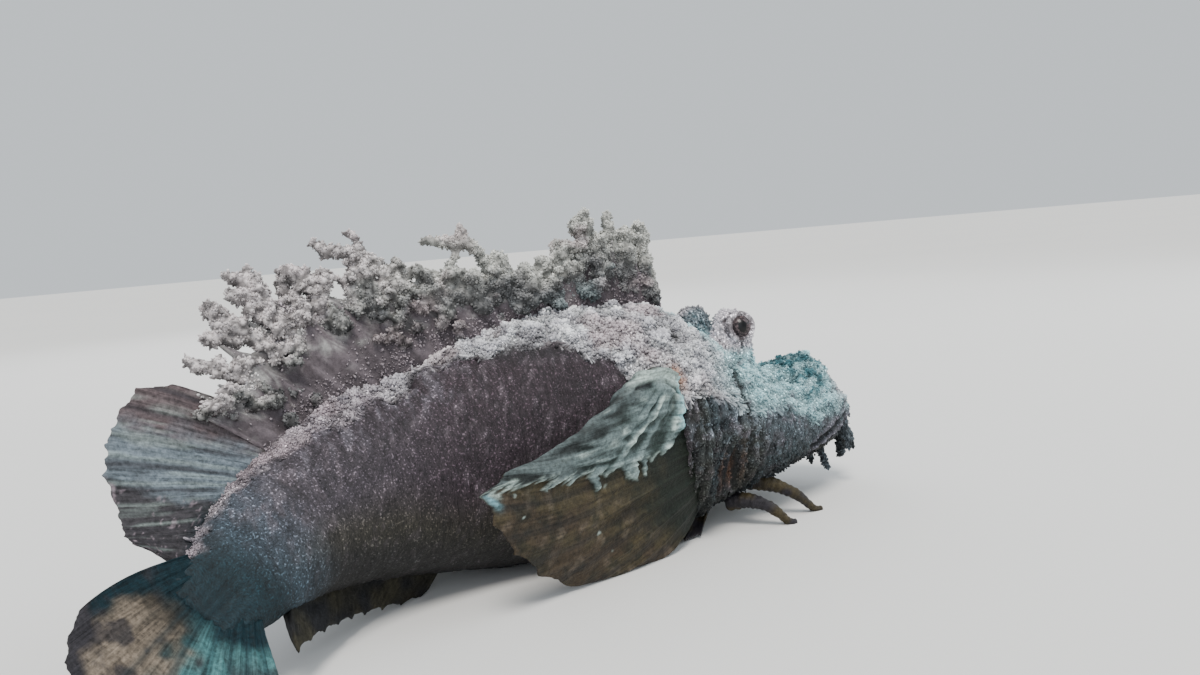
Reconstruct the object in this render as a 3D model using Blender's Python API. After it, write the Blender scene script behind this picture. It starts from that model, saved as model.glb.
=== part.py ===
"""A spiny devilfish, one of the stonefishes, as a still life-size model resting on the floor.

Shapes are worked out in millimetres in the fish's own coordinates and carried onto its bent body:
    place   distance back from the tip of the snout, along the bent axis
    side    distance to the fish's left of the middle plane (right is negative)
    height  distance up, where the floor lies at FLOOR, before the rear body rolls over
The last step centres the model over the origin and turns millimetres into metres.
"""
import math

import bmesh
import bpy
import numpy as np
from mathutils import Vector

# Driving dimensions, in millimetres and degrees.
STANDARD_LENGTH = 195.0         # snout to the root of the tail fin
GAP = 0.3                       # clearance between two nodes that touch
FLOOR = 3.0                     # height of the floor in the fish's own coordinates
COLUMNS = 40                    # faces round the body
HEAD_END = 62.0
TRUNK_MIDDLE = 106.0
TRUNK_END = 150.0
NOSE_ROUNDING = 15.0            # length over which the snout rounds off
SNOUT_TIP_HEIGHT = 25.0

# Profiles, as (place, value) stations joined by smooth curves.
HEADING = [(0, -14), (50, -12), (80, -4), (110, 0), (140, 12), (165, 36), (195, 52), (245, 60)]
ROLL = [(0, 0), (100, 0), (150, 18), (180, 38), (195, 45), (245, 50)]
BACK = [(0, 29), (8, 38), (15, 41.5), (26, 38.5), (38, 43.5), (52, 55), (60, 59.5), (74, 61.5), (92, 61.5),
        (113, 57.5), (131, 52.5), (145, 49), (157, 45), (167, 41.5), (176, 37.5), (185, 33.5), (195, 31), (235, 26)]
BELLY = [(0, 18), (8, 14.5), (28, 11), (45, 7.5), (60, 4.5), (75, 2.6), (105, 2.6), (125, 6), (145, 10),
         (165, 12.5), (180, 13.5), (195, 14.5), (235, 6)]
HALF_WIDTH = [(0, 7), (10, 13), (25, 19.5), (45, 26), (65, 29), (85, 27), (110, 23), (140, 17), (165, 11),
              (180, 7), (195, 4)]
WIDEST = [(0, .5), (60, .45), (120, .45), (195, .5)]        # share of the height where it is widest
UPPER_FULLNESS = [(0, 1), (60, .9), (100, 1.1), (195, 1.1)]
LOWER_FULLNESS = [(0, 1), (60, .8), (195, .9)]

# Lumps and hollows of the skin, mirrored: place, side, height, radius, rise.
RELIEF = {
    "cheek pit": (31, 21, 34, 4.5, -3.0),
    "cheek knob": (36, 25, 26, 5.0, 1.5),
    "gill cover edge": (52, 27, 25, 6.0, 1.8),
    "gill cover top": (59, 24, 42, 5.0, 1.6),
    "gill hollow": (66, 29, 22, 4.5, -1.8),
    "snout side": (14, 15, 33, 6.0, 1.5),
    "hollow between eyes": (38, 0, 44, 6.0, -2.0),
    "nape knob": (52, 8, 55, 5.0, 1.6),
    "shoulder": (72, 20, 52, 8.0, 1.5),
}

# Mouth: a plane that slopes down and back from the front of the snout.
MOUTH_FRONT_HEIGHT = 27.0
MOUTH_SLOPE = 0.36
MOUTH_CORNER = 24.0
LIP_RADIUS = 1.25
LIP_OFFSET = 1.35

# Eyes on turrets.
EYE_PLACE = 41.5
TURRET_SIDE = 9.8
TURRET_PROFILE = [(36, 7.2), (42, 6.0), (46.5, 5.3), (51, 5.2), (54.4, 4.4), (56.6, 2.6)]   # height, radius
EYE_RADIUS = 3.7
EYE_HEIGHT = 52.0
EYE_OUT = 2.4                   # eye centre outside the turret's middle
EYE_FORWARD = 0.9
LID_RADIUS = 3.3
LID_THICKNESS = 0.9

# Fins. Tips are (ray's place in the fin from 0 to 1, value) stations.
FRONT_SPINES = 5
SPINE_PLACES = np.concatenate([np.linspace(57, 80.5, FRONT_SPINES), np.linspace(83, 153, 12)])
SPINE_SWEEP = [(57, 0), (70, 1.5), (81, 4), (95, 9), (110, 12), (134, 18), (153, 10)]
SPINE_RISE = [(57, 8), (62, 13.5), (72, 17.5), (77, 17), (83, 11), (90, 9), (96, 11), (104, 15), (114, 16.5),
              (120, 21), (134, 24), (147, 17.5), (153, 13)]
FIN_DIVISION = ((81.75, 50), (88.5, 90))        # place and height of two points of the line that parts them
SOFT_PLACES = np.linspace(160, 188, 8)
SOFT_SWEEP = [(160, 10.5), (176, 11), (182, 9), (188, 3.5)]
SOFT_RISE = [(160, 19), (168, 18.5), (176, 13), (182, 8.5), (188, 3)]
CAUDAL_RAYS = 10
CAUDAL_TIP_PLACE = [(0, 210), (.2, 218), (.45, 225), (.7, 226), (1, 211)]
CAUDAL_TIP_HEIGHT = [(0, 35), (.2, 31), (.45, 19), (.7, 2), (1, -5)]
ANAL_PLACES = np.linspace(126, 176, 9)
ANAL_SWEEP = 8.0
ANAL_DEPTH = 6.5
PECTORAL_RAYS = 11
PECTORAL_ROOT = (66, 41, 60, 11)            # place and height of the top ray, then of the lowest
PECTORAL_TIP_PLACE = [(0, 91), (.1, 99), (.2, 112), (.33, 133), (.42, 140), (.52, 134), (.65, 125),
                      (.75, 115), (.88, 100), (1, 86)]
PECTORAL_TIP_HEIGHT = [(0, 43.5), (.1, 41), (.2, 35), (.33, 27), (.42, 22), (.52, 17), (.65, 10), (.75, 6),
                       (.88, 1), (1, 0)]
PECTORAL_TIP_SIDE = [(0, 32), (.2, 34), (.5, 33), (.75, 30), (1, 27)]
PELVIC_RAYS = 6
PELVIC_ROOT = (50, 8, 62, 6)
PELVIC_TIP_PLACE = [(0, 64), (.5, 76), (1, 84)]
PELVIC_TIP_SIDE = [(0, 23), (.5, 22), (1, 19.5)]
FREE_RAYS = {"1": ((49, 19, 9), (44, 27, 11), (37, 27, 0.5)), "2": ((41, 17, 12), (33, 23, 11), (25.5, 22, 0.5))}
FREE_RAY_RADIUS = (2.1, 0.8)
SINK = 2.2                      # how far a root starts inside the body
FIN_ROOT_THICKNESS = 1.9
FIN_EDGE_THICKNESS = 0.7
RAY_RISE = 0.4                  # height of a ray over the membrane at its root
MEMBRANE_NOTCH = 0.93           # reach of the membrane between two rays

# Growth on the back spines: clubbed lobes that stand on the spines, with sizes in millimetres.
LOBE_LENGTHS = (6.0, 9.0)
LOBE_RADII = (1.7, 2.5)
LOBE_SIDES = 5
SIDE_LOBES = ((0.62, -0.9), (0.86, 1.0))       # reach along the spine, then lean forwards or back
LONG_BRANCHES = {8: 14.0, 11: 12.0}            # spines that end in a long ragged branch, and its length
LONG_BRANCH_LEAN = -0.2

# Tassels under the chin: place and side of the root, direction (back, left, up), length and radius.
CHIN_TASSELS = [(2.6, 0, (-.1, 0, -1), 9, 2.0), (5, 5.5, (-.2, .3, -1), 6.5, 1.5),
                (5, -5.5, (-.2, -.3, -1), 6.5, 1.5), (12, 3, (-.4, .1, -1), 6.0, 1.2),
                (12, -3, (-.4, -.1, -1), 6.0, 1.2)]

FLOOR_CLEARANCE = 0.2           # the middle of a fin that is laid on the floor stays this high
FLOOR_SOFTNESS = 1.5

SLATE = ("#4a4550", 0.85)
PALE_CRUST = ("#b9b6bd", 0.95)
OLIVE = ("#4d4f3a", 0.75)
FIN_GREY = ("#6b6a66", 0.8)
EYE_DARK = ("#2b2119", 0.25)


def along(stations, s):
    """Smooth curve through (place, value) stations that never overshoots them."""
    x, y = np.array(stations, float).T
    h, d = np.diff(x), np.diff(y) / np.diff(x)
    m = np.empty_like(y)
    m[0], m[-1] = d[0], d[-1]
    same = d[:-1] * d[1:] > 0
    total = np.where(same, d[:-1] + d[1:], 1)
    m[1:-1] = np.where(same, 2 * d[:-1] * d[1:] / total, 0)
    s = np.clip(s, x[0], x[-1])
    i = np.clip(np.searchsorted(x, s) - 1, 0, len(h) - 1)
    t = (s - x[i]) / h[i]
    rise = (2 * t**3 - 3 * t**2 + 1) * y[i] + (3 * t**2 - 2 * t**3) * y[i + 1]
    return rise + (t**3 - 2 * t**2 + t) * h[i] * m[i] + (t**3 - t**2) * h[i] * m[i + 1]


def axis_line():
    """The bent axis seen from above: its places, heading in radians, x and y."""
    places = np.linspace(-30, 290, 1281)
    heading = np.radians(along(HEADING, places))
    step = np.diff(places)
    x = -np.concatenate([[0], np.cumsum((np.cos(heading[1:]) + np.cos(heading[:-1])) / 2 * step)])
    y = -np.concatenate([[0], np.cumsum((np.sin(heading[1:]) + np.sin(heading[:-1])) / 2 * step)])
    return places, heading, x, y


AXIS = axis_line()


def carry(s, side, height):
    """Points of the fish's own coordinates, carried onto the bent and rolled body."""
    s, side, height = np.broadcast_arrays(np.asarray(s, float), side, height)
    places, headings, xs, ys = AXIS
    turn = np.interp(s, places, headings)
    roll = np.radians(along(ROLL, s))
    middle = (along(BACK, s) + along(BELLY, s)) / 2
    out = side * np.cos(roll) + (height - middle) * np.sin(roll)
    up = middle + (height - middle) * np.cos(roll) - side * np.sin(roll)
    x = np.interp(s, places, xs) - np.sin(turn) * out
    y = np.interp(s, places, ys) + np.cos(turn) * out
    return np.stack([x, y, up], -1)


def bearing(s, back, left, up):
    """A direction at place s, given as parts back, left and up, in the model's frame."""
    here = carry(s, 0, 30)
    step = carry(s, left, 30 + up) - here
    turn = np.interp(s, AXIS[0], AXIS[1])
    step = step + back * np.array([-math.cos(turn), -math.sin(turn), 0])
    return step / np.linalg.norm(step)


def outline(s, grow=0.0):
    """Top, bottom, half width, widest height and the two fullnesses of the section at place s."""
    reach = np.clip((s + grow) / NOSE_ROUNDING, 0, 1)
    shrink = np.sqrt(np.clip(1 - (1 - reach)**2, 0, 1))
    top = SNOUT_TIP_HEIGHT + (along(BACK, s) + grow - SNOUT_TIP_HEIGHT) * shrink
    bottom = SNOUT_TIP_HEIGHT + (along(BELLY, s) - grow - SNOUT_TIP_HEIGHT) * shrink
    half = (along(HALF_WIDTH, s) + grow) * shrink
    widest = bottom + (top - bottom) * along(WIDEST, s)
    return top, bottom, half, widest, along(UPPER_FULLNESS, s), along(LOWER_FULLNESS, s)


def side_at(s, height):
    """Half width of the skin at place s and a height."""
    top, bottom, half, widest, upper, lower = outline(np.asarray(s, float))
    above = height > widest
    share = np.where(above, (height - widest) / (top - widest), (widest - height) / (widest - bottom))
    sine = np.clip(share, 0, 1)**(1 / np.where(above, upper, lower))
    return half * np.sqrt(1 - sine**2)


def skin(s, angle, grow=0.0):
    """Side and height of the skin at place s and angle (0 left, quarter turn top), pushed out by grow."""
    top, bottom, half, widest, upper, lower = outline(s, grow)
    c, n = np.cos(angle), np.sin(angle)
    side = half * c
    height = np.where(n > 0, widest + (top - widest) * np.abs(n)**upper,
                      widest - (widest - bottom) * np.abs(n)**lower)
    push = np.zeros_like(side)
    for place, off, level, radius, rise in RELIEF.values():
        distance = (s - place)**2 + (np.abs(side) - off)**2 + (height - level)**2
        push += rise * np.exp(-distance / radius**2)
    length = np.hypot(side, height - widest) + 1e-6
    return side + push * side / length, height + push * (height - widest) / length


def body_rows(first, last):
    """Places of the rings of a stretch of the body, closer on the head."""
    head = [0.12, 0.5, 1.2, 2.2, 3.6, 5.2, 7, 9]
    rows = head + list(np.arange(11, HEAD_END, 2.4)) + list(np.arange(HEAD_END + 3, 200, 4.2))
    inner = [s for s in rows if first + 0.7 < s < last - 0.7]
    return np.array([first] + inner + [last])


def body_stretch(name, first, last, grow=0.0):
    """The solid of the body between two places, with flat ends across the axis."""
    rows = body_rows(max(first, 0.12), last)
    angle = np.arange(COLUMNS) / COLUMNS * 2 * math.pi
    s, turn = np.meshgrid(rows, angle, indexing="ij")
    side, height = skin(s, turn, grow)
    return tube(name, carry(s, side, height))


def tube(name, rings):
    """A closed solid through rings of points, rings[row, column, xyz], with flat ends."""
    rows, columns = rings.shape[:2]
    grid = np.arange(rows * columns).reshape(rows, columns)
    beside = np.roll(grid, -1, 1)
    quads = np.stack([grid[:-1], beside[:-1], beside[1:], grid[1:]], -1).reshape(-1, 4).tolist()
    return solid(name, rings.reshape(-1, 3), quads + [grid[0, ::-1].tolist(), grid[-1].tolist()])


def solid(name, points, faces):
    """An object with its faces pointing out."""
    mesh = bpy.data.meshes.new(name)
    mesh.from_pydata([tuple(map(float, p)) for p in points], [], faces)
    shape = bmesh.new()
    shape.from_mesh(mesh)
    bmesh.ops.recalc_face_normals(shape, faces=shape.faces[:])
    shape.to_mesh(mesh)
    shape.free()
    thing = bpy.data.objects.new(name, mesh)
    bpy.context.scene.collection.objects.link(thing)
    return thing


def revolved(name, base, direction, profile, sides):
    """A solid turned about an axis: profile holds (distance along the axis, radius) pairs."""
    axis = Vector(direction).normalized()
    across = axis.orthogonal().normalized()
    other = axis.cross(across)
    angle = np.arange(sides) / sides * 2 * math.pi
    ring = np.outer(np.cos(angle), across) + np.outer(np.sin(angle), other)
    rings = [np.array(base) + distance * np.array(axis) + radius * ring for distance, radius in profile]
    return tube(name, np.array(rings))


def ball(name, centre, radius, direction, sides=14, rows=9):
    """A sphere, turned about a direction, whose end rings are small flats."""
    turn = np.linspace(0.12, math.pi - 0.12, rows)
    profile = [(-radius * math.cos(t), radius * math.sin(t)) for t in turn]
    return revolved(name, centre, direction, profile, sides)


def ring_round(name, centre, direction, radius, thickness, sides=18, round_sides=6):
    """A ring of round section about a direction."""
    axis = Vector(direction).normalized()
    across = axis.orthogonal().normalized()
    other = axis.cross(across)
    a = np.arange(sides) / sides * 2 * math.pi
    b = np.arange(round_sides) / round_sides * 2 * math.pi
    spoke = np.outer(np.cos(a), across) + np.outer(np.sin(a), other)
    points = (np.array(centre) + spoke[:, None] * (radius + thickness * np.cos(b))[None, :, None]
              + np.array(axis) * (thickness * np.sin(b))[None, :, None])
    grid = np.arange(sides * round_sides).reshape(sides, round_sides)
    right, down = np.roll(grid, -1, 0), np.roll(grid, -1, 1)
    both = np.roll(right, -1, 1)
    quads = np.stack([grid, right, both, down], -1).reshape(-1, 4).tolist()
    return solid(name, points.reshape(-1, 3), quads)


def rope(name, path, radii, sides=6):
    """A round solid along a path of points, with a radius at each."""
    path = np.asarray(path, float)
    ahead = np.gradient(path, axis=0)
    ahead /= np.linalg.norm(ahead, axis=1)[:, None]
    across = np.cross(ahead, [0.31, 0.17, 0.94])
    across /= np.linalg.norm(across, axis=1)[:, None]
    other = np.cross(ahead, across)
    angle = np.arange(sides) / sides * 2 * math.pi
    spoke = np.cos(angle)[None, :, None] * across[:, None] + np.sin(angle)[None, :, None] * other[:, None]
    return tube(name, path[:, None] + np.asarray(radii, float)[:, None, None] * spoke)


def tassel(name, root, direction, length, radius, droop=0.25):
    """A fleshy tassel that tapers to its tip and droops a little."""
    reach = np.linspace(0, 1, 5)
    path = np.array(root) + length * (reach[:, None] * np.array(direction))
    path[:, 2] -= droop * length * reach**2
    return rope(name, path, radius * np.array([1, 1.1, 1.05, 0.85, 0.4]), 5)


def laid(points):
    """Points that would lie below the floor, bent up smoothly so that they lie on it."""
    low = FLOOR + FLOOR_CLEARANCE
    above = (points[..., 2] - low) / FLOOR_SOFTNESS
    points[..., 2] = low + FLOOR_SOFTNESS * np.logaddexp(0, above * 2) / 2
    return points


def fin(name, roots, tips, bow, notch=MEMBRANE_NOTCH, root_thickness=FIN_ROOT_THICKNESS,
        edge_thickness=FIN_EDGE_THICKNESS, ridge=RAY_RISE, rows=8, on_floor=True):
    """A fin on rays from roots to tips, each an array of (place, side, height), bowed out by bow.

    Ray columns alternate with membrane columns that stop short of the tips. Both faces carry the
    same triangles.
    """
    roots, tips, bow = (np.asarray(a, float) for a in (roots, tips, bow))
    share = np.linspace(0, 1, rows)[None, :, None]
    rays = roots[:, None] + (tips - roots)[:, None] * share + bow[:, None] * 4 * share * (1 - share)
    short = share * notch
    bare = roots[:, None] + (tips - roots)[:, None] * short + bow[:, None] * 4 * short * (1 - short)
    columns = 2 * len(roots) - 1
    grid = np.empty((columns, rows, 3))
    grid[0::2] = rays
    grid[1::2] = (bare[1:] + bare[:-1]) / 2
    middle = carry(grid[..., 0], grid[..., 1], grid[..., 2])
    if on_floor:
        middle = laid(middle)
    normal = np.cross(np.gradient(middle, axis=0), np.gradient(middle, axis=1))
    normal /= np.linalg.norm(normal, axis=-1)[..., None]
    thick = root_thickness + (edge_thickness - root_thickness) * share[0, :, 0]
    thick = np.repeat(thick[None], columns, 0)
    thick[0::2] += 2 * ridge * (1 - 0.6 * share[0, :, 0])
    half = normal * (thick / 2)[..., None]
    points = np.concatenate([(middle + half).reshape(-1, 3), (middle - half).reshape(-1, 3)])
    index = np.arange(columns * rows).reshape(columns, rows)
    a, b, c, d = index[:-1, :-1], index[1:, :-1], index[1:, 1:], index[:-1, 1:]
    front = np.concatenate([np.stack([a, b, c], -1).reshape(-1, 3), np.stack([a, c, d], -1).reshape(-1, 3)])
    rim = np.concatenate([index[:, 0], index[-1, 1:], index[-2::-1, -1], index[0, -2:0:-1]])
    after = np.roll(rim, -1)
    back = columns * rows
    edge = np.concatenate([np.stack([rim, after, after + back], -1),
                           np.stack([rim, after + back, rim + back], -1)])
    faces = front.tolist() + (front[:, ::-1] + back).tolist() + edge[:, ::-1].tolist()
    return solid(name, points, faces)


def combine(thing, pieces, operation):
    """One Boolean on a collection of pieces, applied, after which the pieces are removed."""
    pieces = list(pieces)
    if not pieces:
        return thing
    group = bpy.data.collections.new("pieces")
    bpy.context.scene.collection.children.link(group)
    for piece in pieces:
        bpy.context.scene.collection.objects.unlink(piece)
        group.objects.link(piece)
    change = thing.modifiers.new("combine", "BOOLEAN")
    change.operation = operation
    change.solver = "EXACT"
    change.operand_type = "COLLECTION"
    change.collection = group
    bpy.context.view_layer.update()
    evaluated = thing.evaluated_get(bpy.context.evaluated_depsgraph_get())
    mesh = bpy.data.meshes.new_from_object(evaluated)
    thing.modifiers.clear()
    thing.data = mesh
    for piece in pieces:
        bpy.data.objects.remove(piece)
    bpy.data.collections.remove(group)
    return thing


def keep_largest(thing):
    """Only the closed surface that holds the most volume, in triangles."""
    shape = bmesh.new()
    shape.from_mesh(thing.data)
    bmesh.ops.triangulate(shape, faces=shape.faces[:])
    left = set(shape.faces)
    groups = []
    while left:
        group, edge = set(), [left.pop()]
        while edge:
            face = edge.pop()
            group.add(face)
            near = {other for side in face.edges for other in side.link_faces} & left
            left -= near
            edge.extend(near)
        volume = sum(f.verts[0].co.dot(f.verts[1].co.cross(f.verts[2].co)) for f in group) / 6
        groups.append((volume, len(groups), group))
    groups.sort(key=lambda entry: entry[:2])
    spare = [face for entry in groups[:-1] for face in entry[2]]
    bmesh.ops.delete(shape, geom=spare, context="FACES")
    bmesh.ops.dissolve_degenerate(shape, dist=1e-4, edges=shape.edges[:])
    bmesh.ops.triangulate(shape, faces=shape.faces[:])
    shape.to_mesh(thing.data)
    shape.free()
    return thing


def block(name, low, high):
    """A box between two corners."""
    corners = [(x, y, z) for x in (low[0], high[0]) for y in (low[1], high[1]) for z in (low[2], high[2])]
    faces = [(0, 1, 3, 2), (4, 6, 7, 5), (0, 4, 5, 1), (2, 3, 7, 6), (0, 2, 6, 4), (1, 5, 7, 3)]
    return solid(name, corners, faces)


def below_floor():
    """Everything under the floor, which trims small flats where the fish rests."""
    return block("below_floor", (-400, -400, FLOOR - 60), (400, 400, FLOOR))


def under_at(s, side):
    """Height of the skin's underside at place s and a side."""
    top, bottom, half, widest, upper, lower = outline(np.asarray(s, float))
    cosine = np.clip(side / half, -1, 1)
    return widest - (widest - bottom) * np.sqrt(1 - cosine**2)**lower


def mouth_height(s):
    return MOUTH_FRONT_HEIGHT - MOUTH_SLOPE * s


def jaw_wedge(grow):
    """The region below and before the mouth plane, pushed out by grow."""
    tip, corner, low = -25.0, MOUTH_CORNER + grow, -30.0
    profile = [(tip, mouth_height(tip) + grow), (corner, mouth_height(corner) + grow), (corner, low), (tip, low)]
    ends = [np.array([carry(s, side, z) for s, z in profile]) for side in (-45, 45)]
    return tube("jaw_wedge", np.array(ends))


def lip(name, offset):
    """A lip: a round bead along the mouth on the skin, above or below the mouth plane."""
    s = np.linspace(0.2, MOUTH_CORNER - 0.5, 240)
    half = side_at(s, mouth_height(s) + offset)
    start = int(np.argmax(half > 0.4))
    s, half = s[start:], half[start:]
    run = np.concatenate([[0], np.cumsum(np.hypot(np.diff(s), np.diff(half)))])
    steps = np.linspace(0, run[-1], 12)
    s, half = np.interp(steps, run, s), np.interp(steps, run, half)
    s = np.concatenate([s[:0:-1], s[:1], s[1:]])
    side = np.concatenate([half[:0:-1], [0], -half[1:]])
    path = carry(s, side, mouth_height(s) + offset)
    fade = np.linspace(-1, 1, len(s))
    return rope(name, path, LIP_RADIUS * (1 - 0.45 * fade**4))


def eye_parts(sign):
    """Centre of an eye, its gaze, and the foot of its turret; sign is 1 for the left eye."""
    foot = carry(EYE_PLACE, sign * (TURRET_SIDE - 1.0), TURRET_PROFILE[0][0])
    centre = carry(EYE_PLACE - EYE_FORWARD, sign * (TURRET_SIDE + EYE_OUT), EYE_HEIGHT)
    gaze = bearing(EYE_PLACE, -0.45, sign * 0.85, 0.25)
    return centre, gaze, foot


def turret(sign):
    """The stalk that carries an eye, with its lid as a ring round the eye."""
    centre, gaze, foot = eye_parts(sign)
    up = bearing(EYE_PLACE, 0.0, sign * 0.08, 1.0)
    profile = [(height - TURRET_PROFILE[0][0], radius) for height, radius in TURRET_PROFILE]
    stalk = revolved("turret", foot, up, profile, 14)
    lid = ring_round("lid", centre + gaze * 2.0, gaze, LID_RADIUS, LID_THICKNESS)
    return [stalk, lid]


def nostril(sign):
    """The raised rim of a nostril."""
    s, height = 12.0, 37.5
    side = sign * float(side_at(s, height))
    return ring_round("nostril", carry(s, side, height), bearing(s, -0.2, sign * 0.7, 0.7), 1.7, 0.7, 10, 5)


def make_head():
    """Upper head, from the snout to the gill covers, with turrets, lids, upper lip and nostrils."""
    head = body_stretch("head", 0.12, HEAD_END)
    extras = turret(1) + turret(-1) + [lip("upper_lip", LIP_OFFSET), nostril(1), nostril(-1)]
    combine(head, extras, "UNION")
    cuts = [jaw_wedge(GAP / 2), below_floor()]
    for sign in (1, -1):
        centre, gaze, foot = eye_parts(sign)
        cuts.append(ball("socket", centre, EYE_RADIUS + GAP, gaze))
    combine(head, cuts, "DIFFERENCE")
    return keep_largest(head)


def make_jaw():
    """Lower jaw with its lip and the tassels of the chin."""
    jaw = body_stretch("jaw", 0.12, MOUTH_CORNER + 6)
    extras = [lip("lower_lip", -LIP_OFFSET)]
    for place, side, direction, length, radius in CHIN_TASSELS:
        root = carry(place, side, under_at(place, side) + radius)
        extras.append(tassel("tassel", root, bearing(place, *direction), length + radius, radius))
    combine(jaw, extras, "UNION")
    combine(jaw, [jaw_wedge(-GAP / 2)], "INTERSECT")
    return keep_largest(jaw)


def make_eye(name, sign):
    centre, gaze, foot = eye_parts(sign)
    return ball(name, centre, EYE_RADIUS, gaze)


def body_cutter():
    """The whole body pushed out by the gap, which trims the root of each fin."""
    return body_stretch("body_cutter", 0.12, STANDARD_LENGTH + GAP, GAP * 1.15)


def trimmed(thing):
    """A fin cut to meet the body face to face and to rest on the floor."""
    combine(thing, [body_cutter(), below_floor()], "DIFFERENCE")
    return keep_largest(thing)


def back_rays(places, sweep, rise):
    """Roots and tips of the rays of a fin along the back."""
    foot = along(BACK, places) - SINK
    roots = np.stack([places, 0 * places, foot], -1)
    tips = np.stack([places + along(sweep, places), 0 * places, along(BACK, places) + along(rise, places)], -1)
    return roots, tips


def division(side_sign):
    """The region behind (1) or ahead (-1) of the line that parts the front spines from the others."""
    shift, far = side_sign * GAP / 2, side_sign * 120
    near = [(place + shift, height) for place, height in FIN_DIVISION]
    profile = near + [(place + far, height) for place, height in near[::-1]]
    ends = [np.array([carry(s, side, z) for s, z in profile]) for side in (-25, 25)]
    return tube("division", np.array(ends))


def dorsal(name, places, sweep, rise, growth=(), **sizes):
    """A fin along the back, between the given ray places, with any growth fused to it."""
    roots, tips = back_rays(places, sweep, rise)
    thing = fin(name, roots, tips, np.zeros_like(roots), on_floor=False, **sizes)
    combine(thing, growth, "UNION")
    return trimmed(thing)


def lobe(root, direction, length, radius, bend):
    """A clubbed lobe of growth: narrow at its root, fullest past the middle, blunt at its end."""
    reach = np.array([0, 0.6, 1])
    path = np.array(root) + length * reach[:, None] * direction + (length * reach**2)[:, None] * bend
    return rope("lobe", path, radius * np.array([0.8, 1.12, 0.5]), LOBE_SIDES)


def spine_growth(first, last):
    """Lobes on the spines numbered first to last - 1: at each tip, behind it, and on every other before it."""
    chance = np.random.default_rng(5 + first)
    roots, tips = back_rays(SPINE_PLACES, SPINE_SWEEP, SPINE_RISE)
    lobes = []
    for k in range(first, last):
        start, end = carry(*roots[k]), carry(*tips[k])
        ahead = (end - start) / np.linalg.norm(end - start)
        back = bearing(SPINE_PLACES[k], 1, 0, 0)
        back = back - ahead * back.dot(ahead)
        across = np.cross(ahead, back)
        for reach, lean in ((0.93, 0.0),) + SIDE_LOBES[k % 2:]:
            length, radius = chance.uniform(*LOBE_LENGTHS), chance.uniform(*LOBE_RADII)
            sway = chance.uniform(-0.55, 0.55)
            if lean == 0 and k in LONG_BRANCHES:
                length, lean, radius = LONG_BRANCHES[k], LONG_BRANCH_LEAN, LOBE_RADII[0]
            direction = ahead + back * lean + across * sway
            direction /= np.linalg.norm(direction)
            bend = across * chance.uniform(-0.25, 0.25) - ahead * 0.1 * lean
            lobes.append(lobe(start + (end - start) * reach, direction, length, radius, bend))
    return lobes


def make_caudal():
    """Tail fin, fanned from the end of the tail stem."""
    u = np.linspace(0, 1, CAUDAL_RAYS)
    place = STANDARD_LENGTH - SINK
    high, low = along(BACK, place) - 0.8, along(BELLY, place) + 0.8
    roots = np.stack([0 * u + place, 0 * u, high + (low - high) * u], -1)
    tips = np.stack([along(CAUDAL_TIP_PLACE, u), 0 * u, along(CAUDAL_TIP_HEIGHT, u)], -1)
    bow = np.stack([0 * u, 2.0 * np.sin(math.pi * u), 1.5 * (1 - 2 * u)], -1)
    return trimmed(fin("caudal_fin", roots, tips, bow))


def make_anal():
    """Fin under the rear body, whose edge rests on the floor."""
    s = ANAL_PLACES
    roots = np.stack([s, 0 * s, along(BELLY, s) + SINK], -1)
    deep = ANAL_DEPTH * np.linspace(0.7, 1, len(s))
    tips = np.stack([s + ANAL_SWEEP, 0 * s, along(BELLY, s) - deep], -1)
    return trimmed(fin("anal_fin", roots, tips, np.zeros_like(roots), notch=0.8, rows=5))


def make_pectoral(name, sign):
    """The great fan on the shoulder, swept back, its lowest rays on the floor."""
    u = np.linspace(0, 1, PECTORAL_RAYS)
    top_place, top_height, low_place, low_height = PECTORAL_ROOT
    s = top_place + (low_place - top_place) * u
    height = top_height + (low_height - top_height) * u
    roots = np.stack([s, sign * (side_at(s, height) - SINK), height], -1)
    tips = np.stack([along(PECTORAL_TIP_PLACE, u), sign * along(PECTORAL_TIP_SIDE, u),
                     along(PECTORAL_TIP_HEIGHT, u)], -1)
    bow = np.stack([0 * u, sign * (3.5 + 0 * u), 2.5 * (1 - u)], -1)
    return trimmed(fin(name, roots, tips, bow))


def make_pelvic(name, sign):
    """Small fin under the chest, spread on the floor."""
    u = np.linspace(0, 1, PELVIC_RAYS)
    front_place, front_height, rear_place, rear_height = PELVIC_ROOT
    s = front_place + (rear_place - front_place) * u
    height = front_height + (rear_height - front_height) * u
    roots = np.stack([s, sign * (side_at(s, height) - SINK), height], -1)
    tips = np.stack([along(PELVIC_TIP_PLACE, u), sign * along(PELVIC_TIP_SIDE, u), 0 * u + FLOOR], -1)
    return trimmed(fin(name, roots, tips, np.zeros_like(roots), rows=6))


def make_free_ray(name, sign, joints):
    """A finger-like free ray of the breast fin, on which the fish walks."""
    root, knee, tip = (np.array([p[0], sign * p[1], p[2]], float) for p in joints)
    t = np.linspace(0, 1, 7)[:, None]
    path = root * (1 - t)**2 + 2 * knee * t * (1 - t) + tip * t**2
    start = path[0] + (path[0] - path[1])
    path = np.concatenate([[start], path])
    points = laid(carry(path[:, 0], path[:, 1], path[:, 2]))
    thick, thin = FREE_RAY_RADIUS
    radii = np.concatenate([[thick], thick + (thin - thick) * t[:, 0]])
    return trimmed(rope(name, points, radii, 8))


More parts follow.
